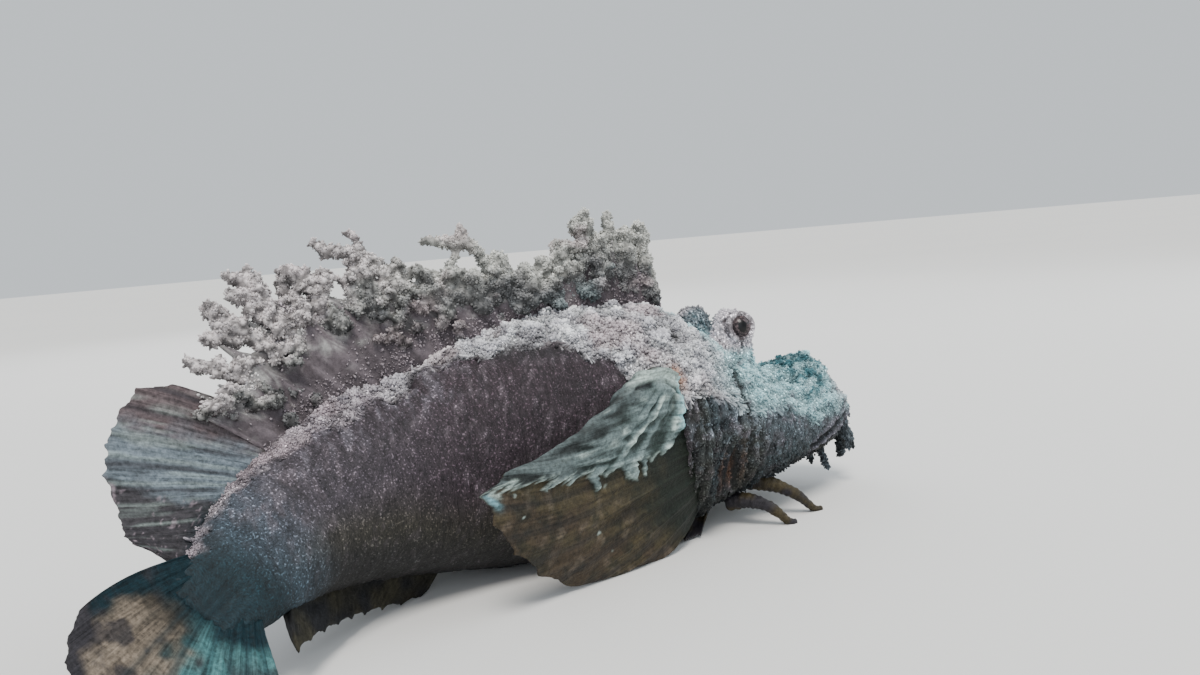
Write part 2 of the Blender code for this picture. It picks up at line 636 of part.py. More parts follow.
def finish_material(thing, colour, roughness):
    """A material of the part's own colour."""
    hexed, value = colour.lstrip("#"), []
    for k in (0, 2, 4):
        c = int(hexed[k:k + 2], 16) / 255
        value.append(c / 12.92 if c <= 0.04045 else ((c + 0.055) / 1.055)**2.4)
    material = bpy.data.materials.new(thing.name + "_skin")
    material.use_nodes = True
    shader = material.node_tree.nodes["Principled BSDF"]
    shader.inputs["Base Color"].default_value = (*value, 1)
    shader.inputs["Roughness"].default_value = roughness
    shader.inputs["Metallic"].default_value = 0
    thing.data.materials.clear()
    thing.data.materials.append(material)


def settle(things):
    """Centre the model over the origin and turn millimetres into metres."""
    every = np.concatenate([np.array([v.co[:] for v in thing.data.vertices]) for thing in things])
    low, high = every.min(0), every.max(0)
    shift = Vector((-(low[0] + high[0]) / 2, -(low[1] + high[1]) / 2, -FLOOR))
    for thing in things:
        for vertex in thing.data.vertices:
            vertex.co = (vertex.co + shift) * 0.001
        thing.data.shade_smooth()
        thing.data.set_sharp_from_angle(angle=math.radians(50))


def main():
    for thing in list(bpy.data.objects):
        bpy.data.objects.remove(thing)
    made = [(make_head(), PALE_CRUST), (make_jaw(), SLATE),
            (make_eye("eye_left", 1), EYE_DARK), (make_eye("eye_right", -1), EYE_DARK)]
    cuts = (HEAD_END, TRUNK_MIDDLE, TRUNK_END, STANDARD_LENGTH)
    for name, first, last in zip(("trunk_front", "trunk_rear", "tail_stem"), cuts, cuts[1:]):
        stretch = body_stretch(name, first + GAP, last)
        combine(stretch, [below_floor()], "DIFFERENCE")
        made.append((keep_largest(stretch), SLATE))
    for name, first, last, beyond in (("dorsal_fin_front", 0, FRONT_SPINES, 1),
                                      ("dorsal_fin_spiny", FRONT_SPINES, len(SPINE_PLACES), -1)):
        growth = spine_growth(first, last)
        spines = dorsal(name, SPINE_PLACES[first:last], SPINE_SWEEP, SPINE_RISE, growth, notch=0.85, rows=5)
        combine(spines, [division(beyond)], "DIFFERENCE")
        made.append((keep_largest(spines), PALE_CRUST))
    made.append((dorsal("dorsal_fin_soft", SOFT_PLACES, SOFT_SWEEP, SOFT_RISE), FIN_GREY))
    made.append((make_caudal(), FIN_GREY))
    made.append((make_anal(), SLATE))
    for word, sign in (("left", 1), ("right", -1)):
        made.append((make_pectoral("pectoral_fin_" + word, sign), OLIVE))
        made.append((make_pelvic("pelvic_fin_" + word, sign), OLIVE))
        for number, joints in FREE_RAYS.items():
            made.append((make_free_ray("free_ray_" + number + "_" + word, sign, joints), OLIVE))
    for thing, (colour, roughness) in made:
        finish_material(thing, colour, roughness)
    settle([thing for thing, finish in made])


main()
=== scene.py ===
"""The finished surfaces of a spiny devilfish, a still life-size model that rests on the floor.

Shapes are worked out in millimetres in the fish's own coordinates, as in the solids:
    place   distance back from the tip of the snout, along the bent axis
    side    distance to the fish's left of the middle plane (right is negative)
    height  distance up, where the floor lies at FLOOR, before the rear body rolls over
"""
import math

import bpy
import numpy as np
from mathutils import Matrix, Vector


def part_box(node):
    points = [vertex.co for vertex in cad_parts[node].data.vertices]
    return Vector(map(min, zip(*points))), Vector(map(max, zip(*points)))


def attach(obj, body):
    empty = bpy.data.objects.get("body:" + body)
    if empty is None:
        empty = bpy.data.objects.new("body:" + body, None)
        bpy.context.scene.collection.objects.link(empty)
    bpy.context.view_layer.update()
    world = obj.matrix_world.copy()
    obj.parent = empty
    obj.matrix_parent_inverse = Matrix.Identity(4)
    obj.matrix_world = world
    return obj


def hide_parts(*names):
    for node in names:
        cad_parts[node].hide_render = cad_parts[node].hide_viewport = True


bl_info = {
    "name": "Spiny devilfish",
    "version": (1, 0, 0),
    "blender": (4, 5, 0),
    "location": "View3D > Sidebar > Devilfish",
    "description": "Builds the skin, fins, eyes and crust of a still, life-size devilfish",
    "category": "Object",
}

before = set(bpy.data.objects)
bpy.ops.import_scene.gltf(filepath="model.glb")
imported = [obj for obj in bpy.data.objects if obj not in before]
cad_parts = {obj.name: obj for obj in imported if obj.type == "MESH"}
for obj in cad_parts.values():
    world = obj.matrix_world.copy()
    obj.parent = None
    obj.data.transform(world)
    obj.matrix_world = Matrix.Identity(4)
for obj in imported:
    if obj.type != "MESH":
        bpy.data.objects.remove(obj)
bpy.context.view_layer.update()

# Driving dimensions of the solids, in millimetres and degrees.
STANDARD_LENGTH = 195.0
FLOOR = 3.0
NOSE_ROUNDING = 15.0
SNOUT_TIP_HEIGHT = 25.0
HEADING = [(0, -14), (50, -12), (80, -4), (110, 0), (140, 12), (165, 36), (195, 52), (245, 60)]
ROLL = [(0, 0), (100, 0), (150, 18), (180, 38), (195, 45), (245, 50)]
BACK = [(0, 29), (8, 38), (15, 41.5), (26, 38.5), (38, 43.5), (52, 55), (60, 59.5), (74, 61.5), (92, 61.5),
        (113, 57.5), (131, 52.5), (145, 49), (157, 45), (167, 41.5), (176, 37.5), (185, 33.5), (195, 31),
        (235, 26)]
BELLY = [(0, 18), (8, 14.5), (28, 11), (45, 7.5), (60, 4.5), (75, 2.6), (105, 2.6), (125, 6), (145, 10),
         (165, 12.5), (180, 13.5), (195, 14.5), (235, 6)]
HALF_WIDTH = [(0, 7), (10, 13), (25, 19.5), (45, 26), (65, 29), (85, 27), (110, 23), (140, 17), (165, 11),
              (180, 7), (195, 4)]
WIDEST = [(0, .5), (60, .45), (120, .45), (195, .5)]
UPPER_FULLNESS = [(0, 1), (60, .9), (100, 1.1), (195, 1.1)]
LOWER_FULLNESS = [(0, 1), (60, .8), (195, .9)]
MOUTH_FRONT_HEIGHT = 27.0
MOUTH_SLOPE = 0.36
MOUTH_CORNER = 24.0
LIP_RADIUS = 1.25
LIP_OFFSET = 1.35
EYE_PLACE = 41.5
TURRET_SIDE = 9.8
TURRET_PROFILE = [(36, 7.2), (42, 6.0), (46.5, 5.3), (51, 5.2), (54.4, 4.4), (56.6, 2.6)]
EYE_RADIUS = 3.7
EYE_HEIGHT = 52.0
EYE_OUT = 2.4
EYE_FORWARD = 0.9
SPINE_PLACES = np.concatenate([np.linspace(57, 80.5, 5), np.linspace(83, 153, 12)])
SPINE_SWEEP = [(57, 0), (70, 1.5), (81, 4), (95, 9), (110, 12), (134, 18), (153, 10)]
SPINE_RISE = [(57, 8), (62, 13.5), (72, 17.5), (77, 17), (83, 11), (90, 9), (96, 11), (104, 15),
              (114, 16.5), (120, 21), (134, 24), (147, 17.5), (153, 13)]
CAUDAL_RAYS = 10
CAUDAL_TIP_PLACE = [(0, 210), (.2, 218), (.45, 225), (.7, 226), (1, 211)]
CAUDAL_TIP_HEIGHT = [(0, 35), (.2, 31), (.45, 19), (.7, 2), (1, -5)]
ANAL_PLACES = np.linspace(126, 176, 9)
ANAL_SWEEP = 8.0
ANAL_DEPTH = 6.5
PECTORAL_RAYS = 11
PECTORAL_ROOT = (71, 42, 62, 11)        # further back than in the solids, where the gill cover hides it
PECTORAL_TIP_PLACE = [(0, 91), (.1, 99), (.2, 112), (.33, 133), (.42, 140), (.52, 134), (.65, 125),
                      (.75, 115), (.88, 100), (1, 86)]
PECTORAL_TIP_HEIGHT = [(0, 43.5), (.1, 41), (.2, 35), (.33, 27), (.42, 22), (.52, 17), (.65, 10), (.75, 6),
                       (.88, 1), (1, 0)]
PECTORAL_TIP_SIDE = [(0, 32), (.2, 34), (.5, 33), (.75, 30), (1, 27)]
PELVIC_RAYS = 6
PELVIC_ROOT = (50, 8, 62, 6)
PELVIC_TIP_PLACE = [(0, 64), (.5, 76), (1, 84)]
PELVIC_TIP_SIDE = [(0, 23), (.5, 22), (1, 19.5)]
FREE_RAYS = {"1": ((49, 19, 9), (44, 27, 11), (37, 27, 0.5)),
             "2": ((41, 17, 12), (33, 23, 11), (25.5, 22, 0.5))}
FREE_RAY_RADIUS = (2.1, 0.8)
SINK = 2.2
CHIN_TASSELS = [(2.6, 0, (-.1, 0, -1), 9, 2.0), (5, 5.5, (-.2, .3, -1), 6.5, 1.5),
                (5, -5.5, (-.2, -.3, -1), 6.5, 1.5), (12, 3, (-.4, .1, -1), 6.0, 1.2),
                (12, -3, (-.4, -.1, -1), 6.0, 1.2)]
TAIL_SINK = 7.0                         # how far the tail fin's rays run on inside the thinned stem
FLOOR_CLEARANCE = 0.2
WEDGE = 12.0
FLOOR_SOFTNESS = 1.5
NOSTRIL = (12.0, 37.5)                  # place and height of a nostril's middle
HOLLOW = (54.5, 20.0)                   # the hollow behind the mouth
GROOVE_PLACE = 46.3                     # top of the groove across the cheek, which leans back going down
GROOVE_TOP = 43.0
GROOVE_LEAN = 0.18
GROOVE_HALF = 4.5
SNOUT_PIT = (24.8, 36.3, 10.9)          # place, height and side of the pit in front of the eye

# Lower edge of the crust on the body, as (place, height).
CRUST_EDGE = [(0, 22), (12, 25.2), (22, 26), (31, 28.5), (44, 32), (51, 35), (59, 38.5), (68, 39.5),
              (76, 40.5), (82, 44), (86, 51), (93, 53.5), (108, 54.6), (115, 54), (123, 51.6), (133, 48.4),
              (141, 45.4), (149, 43), (158, 40.8), (168, 38.4), (179, 34), (195, 29)]

# Rays of the soft back fin, as (root place, tip place, tip height).
SOFT_RAYS = [(152, 168.5, 62), (156, 173.5, 64.5), (160, 178, 61), (164, 182.5, 57), (167.5, 186, 52),
             (171, 188.2, 47.5), (175, 190.2, 43.5), (179, 191.8, 41), (183, 192, 39.3), (187.5, 190.3, 36)]

# Branches of growth on the crest, each as (place, side, height) points from root to tip, and its radius.
CREST_BRANCHES = [
    ([(60, 0, 62), (59.5, 0, 70), (60.5, 1, 77), (61.5, 1, 80)], 1.9),
    ([(65, 0, 64), (64.5, -1, 72), (65.5, 0, 79)], 1.6), ([(69, 0, 66), (69, 0, 76), (70, 1, 83)], 1.7),
    ([(74, 0, 66), (75, 0, 76), (78, -1, 83.5)], 2.0),
    ([(72, 0, 68), (71.5, 0, 78)], 1.6), ([(67, 0, 65), (67, 0, 73)], 1.5),
    ([(78, -1, 78), (81, -1, 82)], 1.4),
    ([(82, 0, 68), (84, 0, 75), (85.5, 1, 77.5)], 1.8), ([(88, 0, 66), (89, 0, 73)], 2.0),
    ([(94, 0, 66), (94.5, 0, 72.5)], 2.1), ([(100, 0, 68), (100.5, 0, 73), (102, 0, 76)], 1.8),
    ([(103, 0, 68), (105, 0, 74), (107, 0, 77.5), (110, -.5, 79.5), (114, 0, 80), (118, 1, 81)], 1.45),
    ([(109, 0, 79), (109.5, 0, 81), (110, 0, 83.5)], 1.0), ([(112, 0, 79), (112, -1, 76)], 0.8),
    ([(111, 0, 66), (112, 0, 72.5)], 2.0), ([(118, 0, 66), (119.5, 0, 74)], 2.0),
    ([(124, 0, 68), (125, 0, 75.5)], 2.0),
    ([(126, 0, 70), (129, 0, 77), (131, 0, 79.5), (134, 0, 80), (137, 1, 81.5), (140, 1, 84)], 1.35),
    ([(131.5, 0, 80), (132, 0, 83), (133.5, 0, 84.5)], 1.0),
    ([(131, 0, 66), (132, 0, 73), (132, 0, 77)], 2.5),
    ([(136, 1, 81), (138.5, 1, 80)], 0.9), ([(134, 0, 68), (135, 0, 75)], 1.9),
    ([(139, 0, 64), (141, 0, 72), (143, 0, 76)], 2.3), ([(143, 0, 76), (146, 0, 78.5)], 1.9),
    ([(141, 1, 74), (139.5, 1, 77)], 1.5),
    ([(147, 0, 60), (149, 0, 68), (151, 0, 74), (151.5, 0, 79)], 1.9),
    ([(151, 0, 75), (154, 0, 80)], 1.5), ([(150, -1, 70), (153, -1, 74), (156, -1, 76)], 1.5),
    ([(151, 0, 60), (154, 0, 66), (157, 0, 71), (159, 0, 74.5)], 1.7), ([(156, 0, 68), (159, 0, 71)], 1.2),
    ([(156, 1, 66), (161, 1, 69)], 1.4), ([(154, 0, 53), (158, 0, 58), (162, 0, 62), (165, 0, 65)], 1.3),
    ([(161, 0, 61), (160, 0, 64)], 1.0),
]

# Height of an eye's lids over the ball, as (degrees from its gaze, millimetres).
LID_PROFILE = [(0, -0.9), (36, -0.9), (50, 0.4), (58, 0.9), (68, 0.7), (90, 0.3)]

# Small blunt spines of the head, as (place, height, how tall).
HEAD_SPINES = [(15, 30.5, 1.3), (30, 31, 1.0), (38, 33.5, 1.2), (47.8, 29.4, 1.0), (57, 33, 1.3),
               (63, 29, 1.0), (33, 40, 1.1), (52, 47, 1.2), (60, 50, 1.1), (68, 50.5, 1.2)]

# Lower edge of the silt on a breast fin, as (reach, ray number).
SILT_EDGE = [(0, 2.6), (.07, 3.2), (.15, 3.9), (.24, 4.15), (.36, 4.45), (.5, 4.15), (.57, 3.95), (.8, 3.7),
             (1, 3.75)]


def linear(code):
    """A colour from sRGB hex to the linear values that shaders take."""
    value = np.array([int(code[k:k + 2], 16) / 255 for k in (1, 3, 5)])
    return np.where(value <= 0.04045, value / 12.92, ((value + 0.055) / 1.055)**2.4)


def rgba(code):
    return (*[float(v) for v in linear(code)], 1.0)


# Curves and coordinates

def xyz(x, y, z):
    """Points from their coordinates, each an array or one value for all."""
    return np.stack(np.broadcast_arrays(x, y, z), -1)


def along(stations, s):
    """Smooth curve through (place, value) stations: a cubic between each two, which never overshoots."""
    x, y = np.array(stations, float).T
    h, d = np.diff(x), np.diff(y) / np.diff(x)
    m = np.empty_like(y)
    m[0], m[-1] = d[0], d[-1]
    same = d[:-1] * d[1:] > 0
    total = np.where(same, d[:-1] + d[1:], 1)
    m[1:-1] = np.where(same, 2 * d[:-1] * d[1:] / total, 0)
    s = np.clip(s, x[0], x[-1])
    i = np.clip(np.searchsorted(x, s) - 1, 0, len(h) - 1)
    t = (s - x[i]) / h[i]
    rise = (2 * t**3 - 3 * t**2 + 1) * y[i] + (3 * t**2 - 2 * t**3) * y[i + 1]
    return rise + (t**3 - 2 * t**2 + t) * h[i] * m[i] + (t**3 - t**2) * h[i] * m[i + 1]


def axis_line():
    """The bent axis seen from above: its places, heading in radians, x and y."""
    places = np.linspace(-30, 290, 1281)
    heading = np.radians(along(HEADING, places))
    step = np.diff(places)
    x = -np.concatenate([[0], np.cumsum((np.cos(heading[1:]) + np.cos(heading[:-1])) / 2 * step)])
    y = -np.concatenate([[0], np.cumsum((np.sin(heading[1:]) + np.sin(heading[:-1])) / 2 * step)])
    return places, heading, x, y


AXIS = axis_line()


def carry(s, side, height):
    """Points of the fish's own coordinates, carried onto the bent and rolled body."""
    s, side, height = np.broadcast_arrays(np.asarray(s, float), side, height)
    places, headings, xs, ys = AXIS
    turn = np.interp(s, places, headings)
    roll = np.radians(along(ROLL, s))
    middle = (along(BACK, s) + along(BELLY, s)) / 2
    out = side * np.cos(roll) + (height - middle) * np.sin(roll)
    up = middle + (height - middle) * np.cos(roll) - side * np.sin(roll)
    x = np.interp(s, places, xs) - np.sin(turn) * out
    y = np.interp(s, places, ys) + np.cos(turn) * out
    return xyz(x, y, up)


def uncarry(points):
    """The place, side and height of points: the place is stepped along the axis until it lies abreast."""
    places, headings, xs, ys = AXIS
    s = np.interp(-points[..., 0], -xs, places)
    for _ in range(12):
        turn = np.interp(s, places, headings)
        gap_x = points[..., 0] - np.interp(s, places, xs)
        gap_y = points[..., 1] - np.interp(s, places, ys)
        s = s + 0.9 * (-gap_x * np.cos(turn) - gap_y * np.sin(turn))
    turn = np.interp(s, places, headings)
    out = -np.sin(turn) * (points[..., 0] - np.interp(s, places, xs))
    out = out + np.cos(turn) * (points[..., 1] - np.interp(s, places, ys))
    roll = np.radians(along(ROLL, s))
    middle = (along(BACK, s) + along(BELLY, s)) / 2
    up = points[..., 2] - middle
    side = out * np.cos(roll) - up * np.sin(roll)
    return s, side, middle + out * np.sin(roll) + up * np.cos(roll)


def bearing(s, back, left, up):
    """A direction at place s, given as parts back, left and up, in the model's frame."""
    here = carry(s, 0, 30)
    step = carry(s, left, 30 + up) - here
    turn = np.interp(s, AXIS[0], AXIS[1])
    step = step + back * np.array([-math.cos(turn), -math.sin(turn), 0])
    return step / np.linalg.norm(step)


def outline(s, grow=0.0):
    """Top, bottom, half width, widest height and the two fullnesses of the section at place s."""
    reach = np.clip((s + grow) / NOSE_ROUNDING, 0, 1)
    shrink = np.sqrt(np.clip(1 - (1 - reach)**2, 0, 1))
    top = SNOUT_TIP_HEIGHT + (along(BACK, s) + grow - SNOUT_TIP_HEIGHT) * shrink
    bottom = SNOUT_TIP_HEIGHT + (along(BELLY, s) - grow - SNOUT_TIP_HEIGHT) * shrink
    half = (along(HALF_WIDTH, s) + grow) * shrink
    widest = bottom + (top - bottom) * along(WIDEST, s)
    return top, bottom, half, widest, along(UPPER_FULLNESS, s), along(LOWER_FULLNESS, s)


def side_at(s, height):
    """Half width of the skin at place s and a height."""
    top, bottom, half, widest, upper, lower = outline(np.asarray(s, float))
    above = height > widest
    share = np.where(above, (height - widest) / (top - widest), (widest - height) / (widest - bottom))
    sine = np.clip(share, 0, 1)**(1 / np.where(above, upper, lower))
    return half * np.sqrt(1 - sine**2)


def under_at(s, side):
    """Height of the skin's underside at place s and a side."""
    _, bottom, half, widest, _, lower = outline(np.asarray(s, float))
    cosine = np.clip(side / half, -1, 1)
    return widest - (widest - bottom) * np.sqrt(1 - cosine**2)**lower


def section(s, angle, grow=0.0):
    """Side and height of the plain section at place s and angle (0 left, quarter turn top)."""
    top, bottom, half, widest, upper, lower = outline(s, grow)
    c, n = np.cos(angle), np.sin(angle)
    height = np.where(n > 0, widest + (top - widest) * np.abs(n)**upper,
                      widest - (widest - bottom) * np.abs(n)**lower)
    return half * c, height


def mouth_height(s):
    return MOUTH_FRONT_HEIGHT - MOUTH_SLOPE * s


def eye_centre(sign):
    """Centre of an eye; sign is 1 for the left eye and -1 for the right."""
    return carry(EYE_PLACE - EYE_FORWARD, sign * (TURRET_SIDE + EYE_OUT), EYE_HEIGHT)


def eye_axes(sign):
    """The directions across an eye, up and ahead: it looks out, a little back and up."""
    gaze = bearing(EYE_PLACE, 0.25, sign * 1.0, 0.15)
    across = np.cross([0, 0, 1.0], gaze)
    across /= np.linalg.norm(across)
    return across, np.cross(gaze, across), gaze


def model_shift():
    """What the model's origin is in the fish's own millimetres, read from where the left eye sits."""
    low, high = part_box("eye_left")
    shift = eye_centre(1) - np.array((low + high) / 2) * 1000
    shift[2] = FLOOR
    return shift


SHIFT = model_shift()


def to_model(points):
    """Millimetres on the bent body to the model's metres."""
    return (points - SHIFT) * 0.001


# Noise, as whole arrays

def lattice(cell, seed):
    """A value from -1 to 1 for each whole-number cell, the same each run."""
    x, y, z = (cell[..., k] for k in range(3))
    mixed = x * 73856093 ^ y * 19349663 ^ z * 83492791 ^ (seed * 40503 + 977)
    mixed = (mixed ^ (mixed >> 13)) * 1274126177 & 0xffffffff
    mixed = (mixed ^ (mixed >> 16)) * 2246822519 & 0xffffffff
    return (mixed >> 8 & 0xffff) / 32767.5 - 1


def noise(points, size, seed=0):
    """Smooth noise from -1 to 1: random values at the corners of cubes, blended across each cube.

    size is the edge of a cube, in the units of the coordinates given. Each use has a seed of its own,
    here and in rough and knobs, so that no two patterns fall together.
    """
    q = points / size
    cell = np.floor(q).astype(np.int64)
    f = q - cell
    f = f * f * (3 - 2 * f)
    total = 0
    for corner in np.ndindex(2, 2, 2):
        near = np.array(corner)
        weight = np.prod(np.where(near, f, 1 - f), -1)
        total = total + weight * lattice(cell + near, seed)
    return total


def rough(points, size, octaves=4, seed=0, gain=0.55):
    """Several noises added, each half the size of the last."""
    total, amount = 0, 1.0
    for k in range(octaves):
        total = total + amount * noise(points, size / 2**k, seed + k)
        amount *= gain
    return total


def knobs(points, size, seed=0):
    """Round knobs: 1 at the middle of each of a crowd of random points, 0 half way to the next."""
    q = points / size
    cell = np.floor(q).astype(np.int64)
    best = np.full(q.shape[:-1], 9.0)
    for step in np.ndindex(3, 3, 3):
        near = cell + np.array(step) - 1
        jitter = np.stack([lattice(near, seed + k) for k in (11, 12, 13)], -1) * 0.42 + 0.5
        best = np.minimum(best, np.sum((q - near - jitter)**2, -1))
    return np.clip(1 - np.sqrt(best) / 0.75, 0, 1)


def ease(x, low, high):
    """0 below low, 1 above high, and an S-curve between."""
    t = np.clip((x - low) / (high - low), 0, 1)
    return t * t * (3 - 2 * t)


def spot(distance, radius):
    """A soft round spot: 1 in the middle, fading as a bell."""
    return np.exp(-(distance / radius)**2)


def oval(x, y, middle, reach):
    """A soft oval spot round a middle, with a reach each way, both as (x, y)."""
    return spot(np.hypot((x - middle[0]) / reach[0], (y - middle[1]) / reach[1]), 1)


def blend(a, b, share):
    """Colour a turned into colour b by a share at each point."""
    return a + (b - a) * np.asarray(share)[..., None]


def layered(colour, *layers):
    """A colour with others laid over it in turn, each as (name on the panel, share at each point)."""
    for name, share in layers:
        colour = blend(colour, tone(name), share)
    return colour


# Meshes

def fill(mesh, points, faces):
    """Puts points in millimetres and same-sided faces into a mesh."""
    mesh.vertices.add(len(points))
    mesh.vertices.foreach_set("co", to_model(points).astype(np.float32).ravel())
    mesh.loops.add(faces.size)
    mesh.loops.foreach_set("vertex_index", faces.astype(np.int32).ravel())
    mesh.polygons.add(len(faces))
    mesh.polygons.foreach_set("loop_start", np.arange(len(faces), dtype=np.int32) * faces.shape[1])
    mesh.update(calc_edges=True)
    mesh.validate()


def mark(mesh, colour, place):
    """Stores the colour markings and the body place of each vertex for the materials to read."""
    layer = mesh.attributes.new("markings", "FLOAT_COLOR", "POINT")
    full = np.concatenate([np.clip(colour, 0, 1), np.ones((len(colour), 1))], 1)
    layer.data.foreach_set("color", full.astype(np.float32).ravel())
    layer = mesh.attributes.new("body_place", "FLOAT_VECTOR", "POINT")
    layer.data.foreach_set("vector", np.asarray(place, np.float32).ravel())


def keep(mesh, name, values):
    """Stores one value for each vertex."""
    mesh.attributes.new(name, "FLOAT", "POINT").data.foreach_set("value", np.asarray(values, np.float32))


def kept(mesh, name):
    """The values stored for each vertex."""
    values = np.empty(len(mesh.vertices), np.float32)
    mesh.attributes[name].data.foreach_get("value", values)
    return values


def show(name, mesh, material, replaced=()):
    """A finished piece: its object at the origin, riding on the model's one body."""
    thing = bpy.data.objects.new(name, mesh)
    bpy.context.scene.collection.objects.link(thing)
    mesh.materials.append(material)
    mesh.shade_smooth()
    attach(thing, "root")
    if replaced:
        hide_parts(*replaced)
    return thing


def tube_faces(rows, columns):
    """Quads of a tube through rings of points, ends left open."""
    grid = np.arange(rows * columns).reshape(rows, columns)
    beside = np.roll(grid, -1, 1)
    return np.stack([grid[:-1], beside[:-1], beside[1:], grid[1:]], -1).reshape(-1, 4)


def closed_tube(rings):
    """Points and triangles of a closed tube: rings[row, column, xyz] with a pole at each end."""
    rows, columns = rings.shape[:2]
    quads = tube_faces(rows, columns)
    first, last = rows * columns, rows * columns + 1
    ring = np.arange(columns)
    after = np.roll(ring, -1)
    start = np.stack([after, ring, np.full(columns, first)], -1)
    end = np.stack([ring, after, np.full(columns, 0)], -1) + (rows - 1) * columns
    end[:, 2] = last
    faces = np.concatenate([quads[:, [0, 1, 2]], quads[:, [0, 2, 3]], start, end])
    points = np.concatenate([rings.reshape(-1, 3), rings[:1].mean(1), rings[-1:].mean(1)])
    return points, faces


def outward(points, faces):
    """Faces of a closed surface, turned round if they hold a negative volume."""
    a, b, c = (points[faces[:, k]] for k in range(3))
    volume = np.einsum("ij,ij->i", a, np.cross(b, c)).sum()
    return faces if volume > 0 else faces[:, ::-1]


def joined(parts):
    """Several (points, triangles) pairs as one."""
    points, faces, start = [], [], 0
    for p, f in parts:
        points.append(p)
        faces.append(outward(p, f) + start)
        start += len(p)
    return np.concatenate(points), np.concatenate(faces)


def side_frames(direction):
    """Two directions across each given direction."""
    helper = np.where(np.abs(direction[..., 2:]) > 0.8, [1.0, 0.2, 0.0], [0.2, 0.1, 1.0])
    across = np.cross(direction, helper)
    across /= np.linalg.norm(across, axis=-1)[..., None]
    return across, np.cross(direction, across)


def rope(path, radii, sides=12):
    """A round profile carried along a path, with a radius at each point."""
    path = np.asarray(path, float)
    ahead = np.gradient(path, axis=0)
    ahead /= np.linalg.norm(ahead, axis=1)[:, None]
    across = np.cross(ahead, [0.31, 0.17, 0.94])
    across /= np.linalg.norm(across, axis=1)[:, None]
    other = np.cross(ahead, across)
    angle = np.arange(sides) / sides * 2 * math.pi
    spoke = np.cos(angle)[None, :, None] * across[:, None] + np.sin(angle)[None, :, None] * other[:, None]
    return closed_tube(path[:, None] + np.asarray(radii, float)[:, None, None] * spoke)


def revolved(base, direction, profile, sides=36):
    """A profile of (distance along the axis, radius) pairs turned about an axis."""
    direction = np.asarray(direction, float) / np.linalg.norm(direction)
    across, other = side_frames(direction)
    angle = np.arange(sides) / sides * 2 * math.pi
    spoke = np.outer(np.cos(angle), across) + np.outer(np.sin(angle), other)
    rings = [np.asarray(base) + distance * direction + radius * spoke for distance, radius in profile]
    return closed_tube(np.array(rings))


def ring_round(centre, direction, radius, thickness, sides=48, round_sides=14):
    """A ring of round section about a direction."""
    across, other = side_frames(np.asarray(direction, float))
    flat = np.array([across[2], other[2]])
    turn = math.atan2(flat[1], flat[0])
    level = -math.sin(turn) * across + math.cos(turn) * other
    rise = math.cos(turn) * across + math.sin(turn) * other
    a = np.arange(sides) / sides * 2 * math.pi
    b = np.arange(round_sides) / round_sides * 2 * math.pi
    spoke = np.outer(np.cos(a), level) + np.outer(np.sin(a), rise)
    points = (np.asarray(centre) + spoke[:, None] * (radius + thickness * np.cos(b))[None, :, None]
              + np.asarray(direction) * (thickness * np.sin(b))[None, :, None])
    grid = np.arange(sides * round_sides).reshape(sides, round_sides)
    right, down = np.roll(grid, -1, 0), np.roll(grid, -1, 1)
    both = np.roll(right, -1, 1)
    faces = np.concatenate([np.stack([grid, right, both], -1), np.stack([grid, both, down], -1)])
    faces = faces.reshape(-1, 3)
    return points.reshape(-1, 3), faces


# Materials

def add(tree, kind, settings=None, **inputs):
    """Adds a node: settings are its own fields, inputs its sockets by name or number (as _6)."""
    made = tree.nodes.new("ShaderNode" + kind)
    for field, value in (settings or {}).items():
        setattr(made, field, value)
    for name, value in inputs.items():
        socket = made.inputs[int(name[1:]) if name[0] == "_" else name.replace("_", " ")]
        if isinstance(value, bpy.types.NodeSocket):
            tree.links.new(value, socket)
        else:
            socket.default_value = value
    return made


def blank(name, roughness, specular=0.5):
    """A material with only its Principled shader, whose constant values are set on its own sockets."""
    material = bpy.data.materials.new(name)
    material.use_nodes = True
    shader = material.node_tree.nodes["Principled BSDF"]
    shader.inputs["Roughness"].default_value = roughness
    shader.inputs["Specular IOR Level"].default_value = specular
    return material, material.node_tree, shader


# Shapes shared by several pieces

def normals(points, faces):
    """Unit normals at the points of a mesh: the sum of the faces' area vectors round each."""
    a, b, c = (points[faces[:, k]] for k in range(3))
    area = np.cross(b - a, c - a)
    total = np.stack([np.bincount(faces.ravel(), np.repeat(area[:, k], faces.shape[1]), len(points))
                      for k in range(3)], -1)
    return total / (np.linalg.norm(total, axis=1)[:, None] + 1e-12)


def laid(points):
    """Points that would lie below the floor, bent up smoothly onto it."""
    low = FLOOR + FLOOR_CLEARANCE
    above = (points[..., 2] - low) / FLOOR_SOFTNESS
    points[..., 2] = low + FLOOR_SOFTNESS * np.logaddexp(0, above * 2) / 2
    return points


def at_rays(values, ray):
    """Values given at whole ray numbers, read at any ray number."""
    return np.stack([np.interp(ray, np.arange(len(values)), values[:, k]) for k in range(3)], -1)[:, None]


